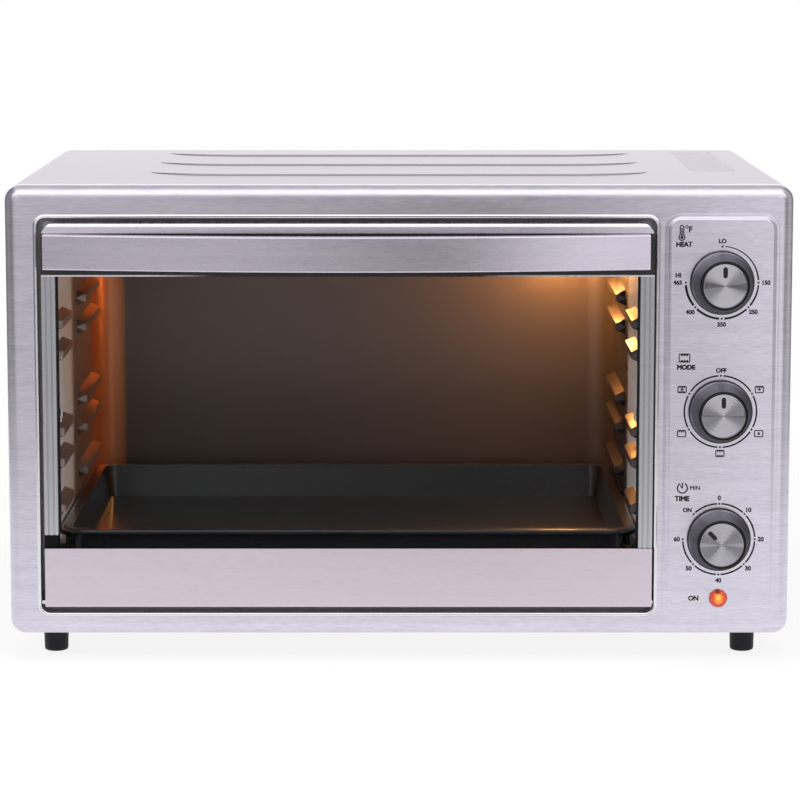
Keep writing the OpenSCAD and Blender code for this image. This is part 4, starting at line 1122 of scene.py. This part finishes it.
def ring_part(ink, centre, radius, width, start, end, last_width=None):
    old = set(ink.verts)
    ends = [ink.verts.new((0, radius + side * width / 2, 0)) for side in (-1, 1)]
    edge = ink.edges.new(ends)
    to_start = Matrix.Rotation(math.radians(-start), 3, "Z")
    bmesh.ops.rotate(ink, cent=(0, 0, 0), matrix=to_start, verts=ends)
    steps = max(3, round((end - start) / 4))
    bmesh.ops.spin(
        ink, geom=ends + [edge], cent=(0, 0, 0), axis=(0, 0, -1),
        angle=math.radians(end - start), steps=steps)
    for vert in [v for v in ink.verts if v not in old]:
        angle = math.degrees(math.atan2(vert.co.x, vert.co.y))
        turn = (angle - start + ANGLE_SLACK) % 360 - ANGLE_SLACK
        grow = 1 + ((last_width or width) / width - 1) * turn / (end - start)
        reach = vert.co.length
        vert.co *= (radius + (reach - radius) * grow) / reach
        vert.co += Vector((*centre, 0))


def frame_sign(ink, at, size, line, corner):
    old = set(ink.verts)
    frame_face(ink, size, corner, line)
    bmesh.ops.translate(ink, vec=(*at, 0), verts=[v for v in ink.verts if v not in old])


def words(ink, text, at, height, weight):
    curve = bpy.data.curves.new("words", "FONT")
    curve.body = text
    holder = bpy.data.objects.new("words", curve)
    flat = bpy.data.meshes.new_from_object(holder)
    letters = bmesh.new()
    letters.from_mesh(flat)
    bmesh.ops.remove_doubles(letters, verts=letters.verts, dist=1e-5)
    lows = [min(v.co[i] for v in letters.verts) for i in (0, 1)]
    highs = [max(v.co[i] for v in letters.verts) for i in (0, 1)]
    middle = [(low + high) / 2 for low, high in zip(lows, highs)]
    grow = Matrix.Scale((height - 2 * weight) / (highs[1] - lows[1]), 4)
    centred = Matrix.Translation((-middle[0], -middle[1], 0))
    letters.transform(Matrix.Translation((*at, 0)) @ grow @ centred)
    fold = bmesh.ops.inset_region(
        letters, faces=letters.faces[:], thickness=-weight, use_boundary=True, use_even_offset=True)
    bmesh.ops.delete(letters, geom=fold["faces"], context="FACES")
    letters.to_mesh(flat)
    ink.from_mesh(flat)
    letters.free()
    bpy.data.objects.remove(holder)
    bpy.data.meshes.remove(flat)


def around(angle, radius):
    return (radius * math.sin(math.radians(angle)), radius * math.cos(math.radians(angle)))


def print_ink(control, ink):
    bmesh.ops.remove_doubles(ink, verts=ink.verts, dist=1e-4)
    thicken(ink, INK_THICK)
    stand = upright(axis_point(control)) @ Matrix.Scale(MM, 4)
    ink.transform(stand @ Matrix.Translation((0, 0, -INK_SINK)))
    finish_piece(f"{control}_scale", ink, INK, "oven_body")


print("ink tools ready")

# %% [markdown]
# The upper dial is a scale that grows thicker as it gets hotter, with a dot at each mark and a
# small thermometer in the corner. The lower one counts minutes around a full hour.

# %% Temperature and timer scales
RING = 25.3
MARK_DOT = 0.75
NUMBER_WEIGHT = 0.22
WORD_WEIGHT = 0.29
RING_WIDTH = 1.14


def marked_ring(ink, marks, widths, gap=4.0):
    for angle in marks:
        dot(ink, around(angle, RING), MARK_DOT)
    for start, end, width, last_width in zip(marks, marks[1:], widths, widths[1:]):
        ring_part(ink, (0, 0), RING, width, start + gap, end - gap, last_width)


def temperature_scale():
    ink = bmesh.new()
    marks = [0, 90, 133, 180, 227, 270]
    marked_ring(ink, marks, [0.65, 1.12, 1.34, 1.5, 1.66, 1.8])
    labels = ["LO", "150", "250", "350", "400", "465"]
    reaches = [29.0, 30.8, 30.0, 29.3, 30.2, 31.0]
    for angle, label, reach in zip(marks, labels, reaches):
        words(ink, label, around(angle, reach), 3.3, NUMBER_WEIGHT)
    words(ink, "HI", (-30.6, 5.2), 3.3, NUMBER_WEIGHT)
    stem, bulb = -28.4, 31.6
    ring_part(ink, (stem, bulb), 2.0, 0.9, 35, 325)
    dot(ink, (stem, bulb), 1.1)
    bar(ink, (stem, 35.2), (1.0, 6.0))
    for side in (-1, 1):
        bar(ink, (stem + side * 1.25, 36.0), (0.8, 5.6))
    ring_part(ink, (stem, 38.7), 1.25, 0.8, -90, 90)
    ring_part(ink, (-25.0, 38.9), 0.85, 0.6, 0, 360)
    words(ink, "F", (-22.4, 37.2), 4.2, NUMBER_WEIGHT)
    words(ink, "HEAT", (-26.6, 26.8), 3.7, WORD_WEIGHT)
    print_ink("temperature", ink)


def timer_scale():
    ink = bmesh.new()
    marks = list(range(-45, 271, 45))
    marked_ring(ink, marks, [RING_WIDTH] * len(marks), gap=3.6)
    for angle in marks[:-1]:
        dot(ink, around(angle + 22.5, RING), MARK_DOT)
    for angle, label in zip(marks[1:], ["0", "10", "20", "30", "40", "50", "60"]):
        words(ink, label, around(angle, 29.5), 3.4, NUMBER_WEIGHT)
    words(ink, "ON", (-22.4, 20.8), 3.2, NUMBER_WEIGHT)
    ring_part(ink, (-26.0, 36.4), 3.5, 0.95, 25, 335)
    bar(ink, (-26.0, 38.3), (0.8, 3.8))
    bar(ink, (-26.8, 37.3), (0.8, 2.6), turn=35)
    words(ink, "MIN", (-17.2, 36.6), 3.0, weight=0.12)
    words(ink, "TIME", (-26.2, 28.9), 3.8, WORD_WEIGHT)
    words(ink, "ON", (-17.4, -42.3), 3.7, weight=0.24)
    print_ink("timer", ink)


temperature_scale()
timer_scale()

# %% [markdown]
# The middle dial chooses which heaters run. Each stop has a sign: a frame for the oven, with
# bars for the heaters that are on, and a small wheel for the fan.

# %% Function signs
HEATER_BARS = 3
SIGN_LINE = 0.75
SIGN_CORNER = 0.9


def heater_row(ink, x, y, width, rail):
    for number in range(HEATER_BARS):
        across = x - width / 2 + width * (number + 0.5) / HEATER_BARS
        bar(ink, (across, y), (width / HEATER_BARS * 0.62, SIGN_LINE))
    bar(ink, (x, y + rail), (width, 0.45))


def oven_sign(ink, at, top, bottom, fan, size=(6.5, 5.1)):
    frame_sign(ink, at, size, SIGN_LINE, SIGN_CORNER)
    if top:
        heater_row(ink, at[0], at[1] + size[1] * 0.25, size[0] * 0.68, rail=0.62)
    if bottom:
        heater_row(ink, at[0], at[1] - size[1] * 0.27, size[0] * 0.68, rail=-0.55)
    if fan:
        for turn in (0, 60, 120):
            bar(ink, at, (2.2, 0.55), turn=turn)
        dot(ink, at, 0.45)


def function_scale():
    ink = bmesh.new()
    marks = list(range(0, 361, 60))
    marked_ring(ink, marks, [RING_WIDTH] * len(marks))
    words(ink, "OFF", (0.2, 29.0), 3.4, NUMBER_WEIGHT)
    choices = {60: (1, 0, 1), 120: (0, 0, 1), 180: (1, 1, 0), 240: (1, 0, 0), 300: (1, 1, 1)}
    for angle, (top, bottom, fan) in choices.items():
        oven_sign(ink, around(angle, 29.6 if angle == 180 else 31.2), top, bottom, fan)
    oven_sign(ink, (-25.6, 37.8), 1, 1, 0, size=(8.2, 6.4))
    words(ink, "MODE", (-24.4, 31.3), 3.7, WORD_WEIGHT)
    print_ink("function", ink)


function_scale()
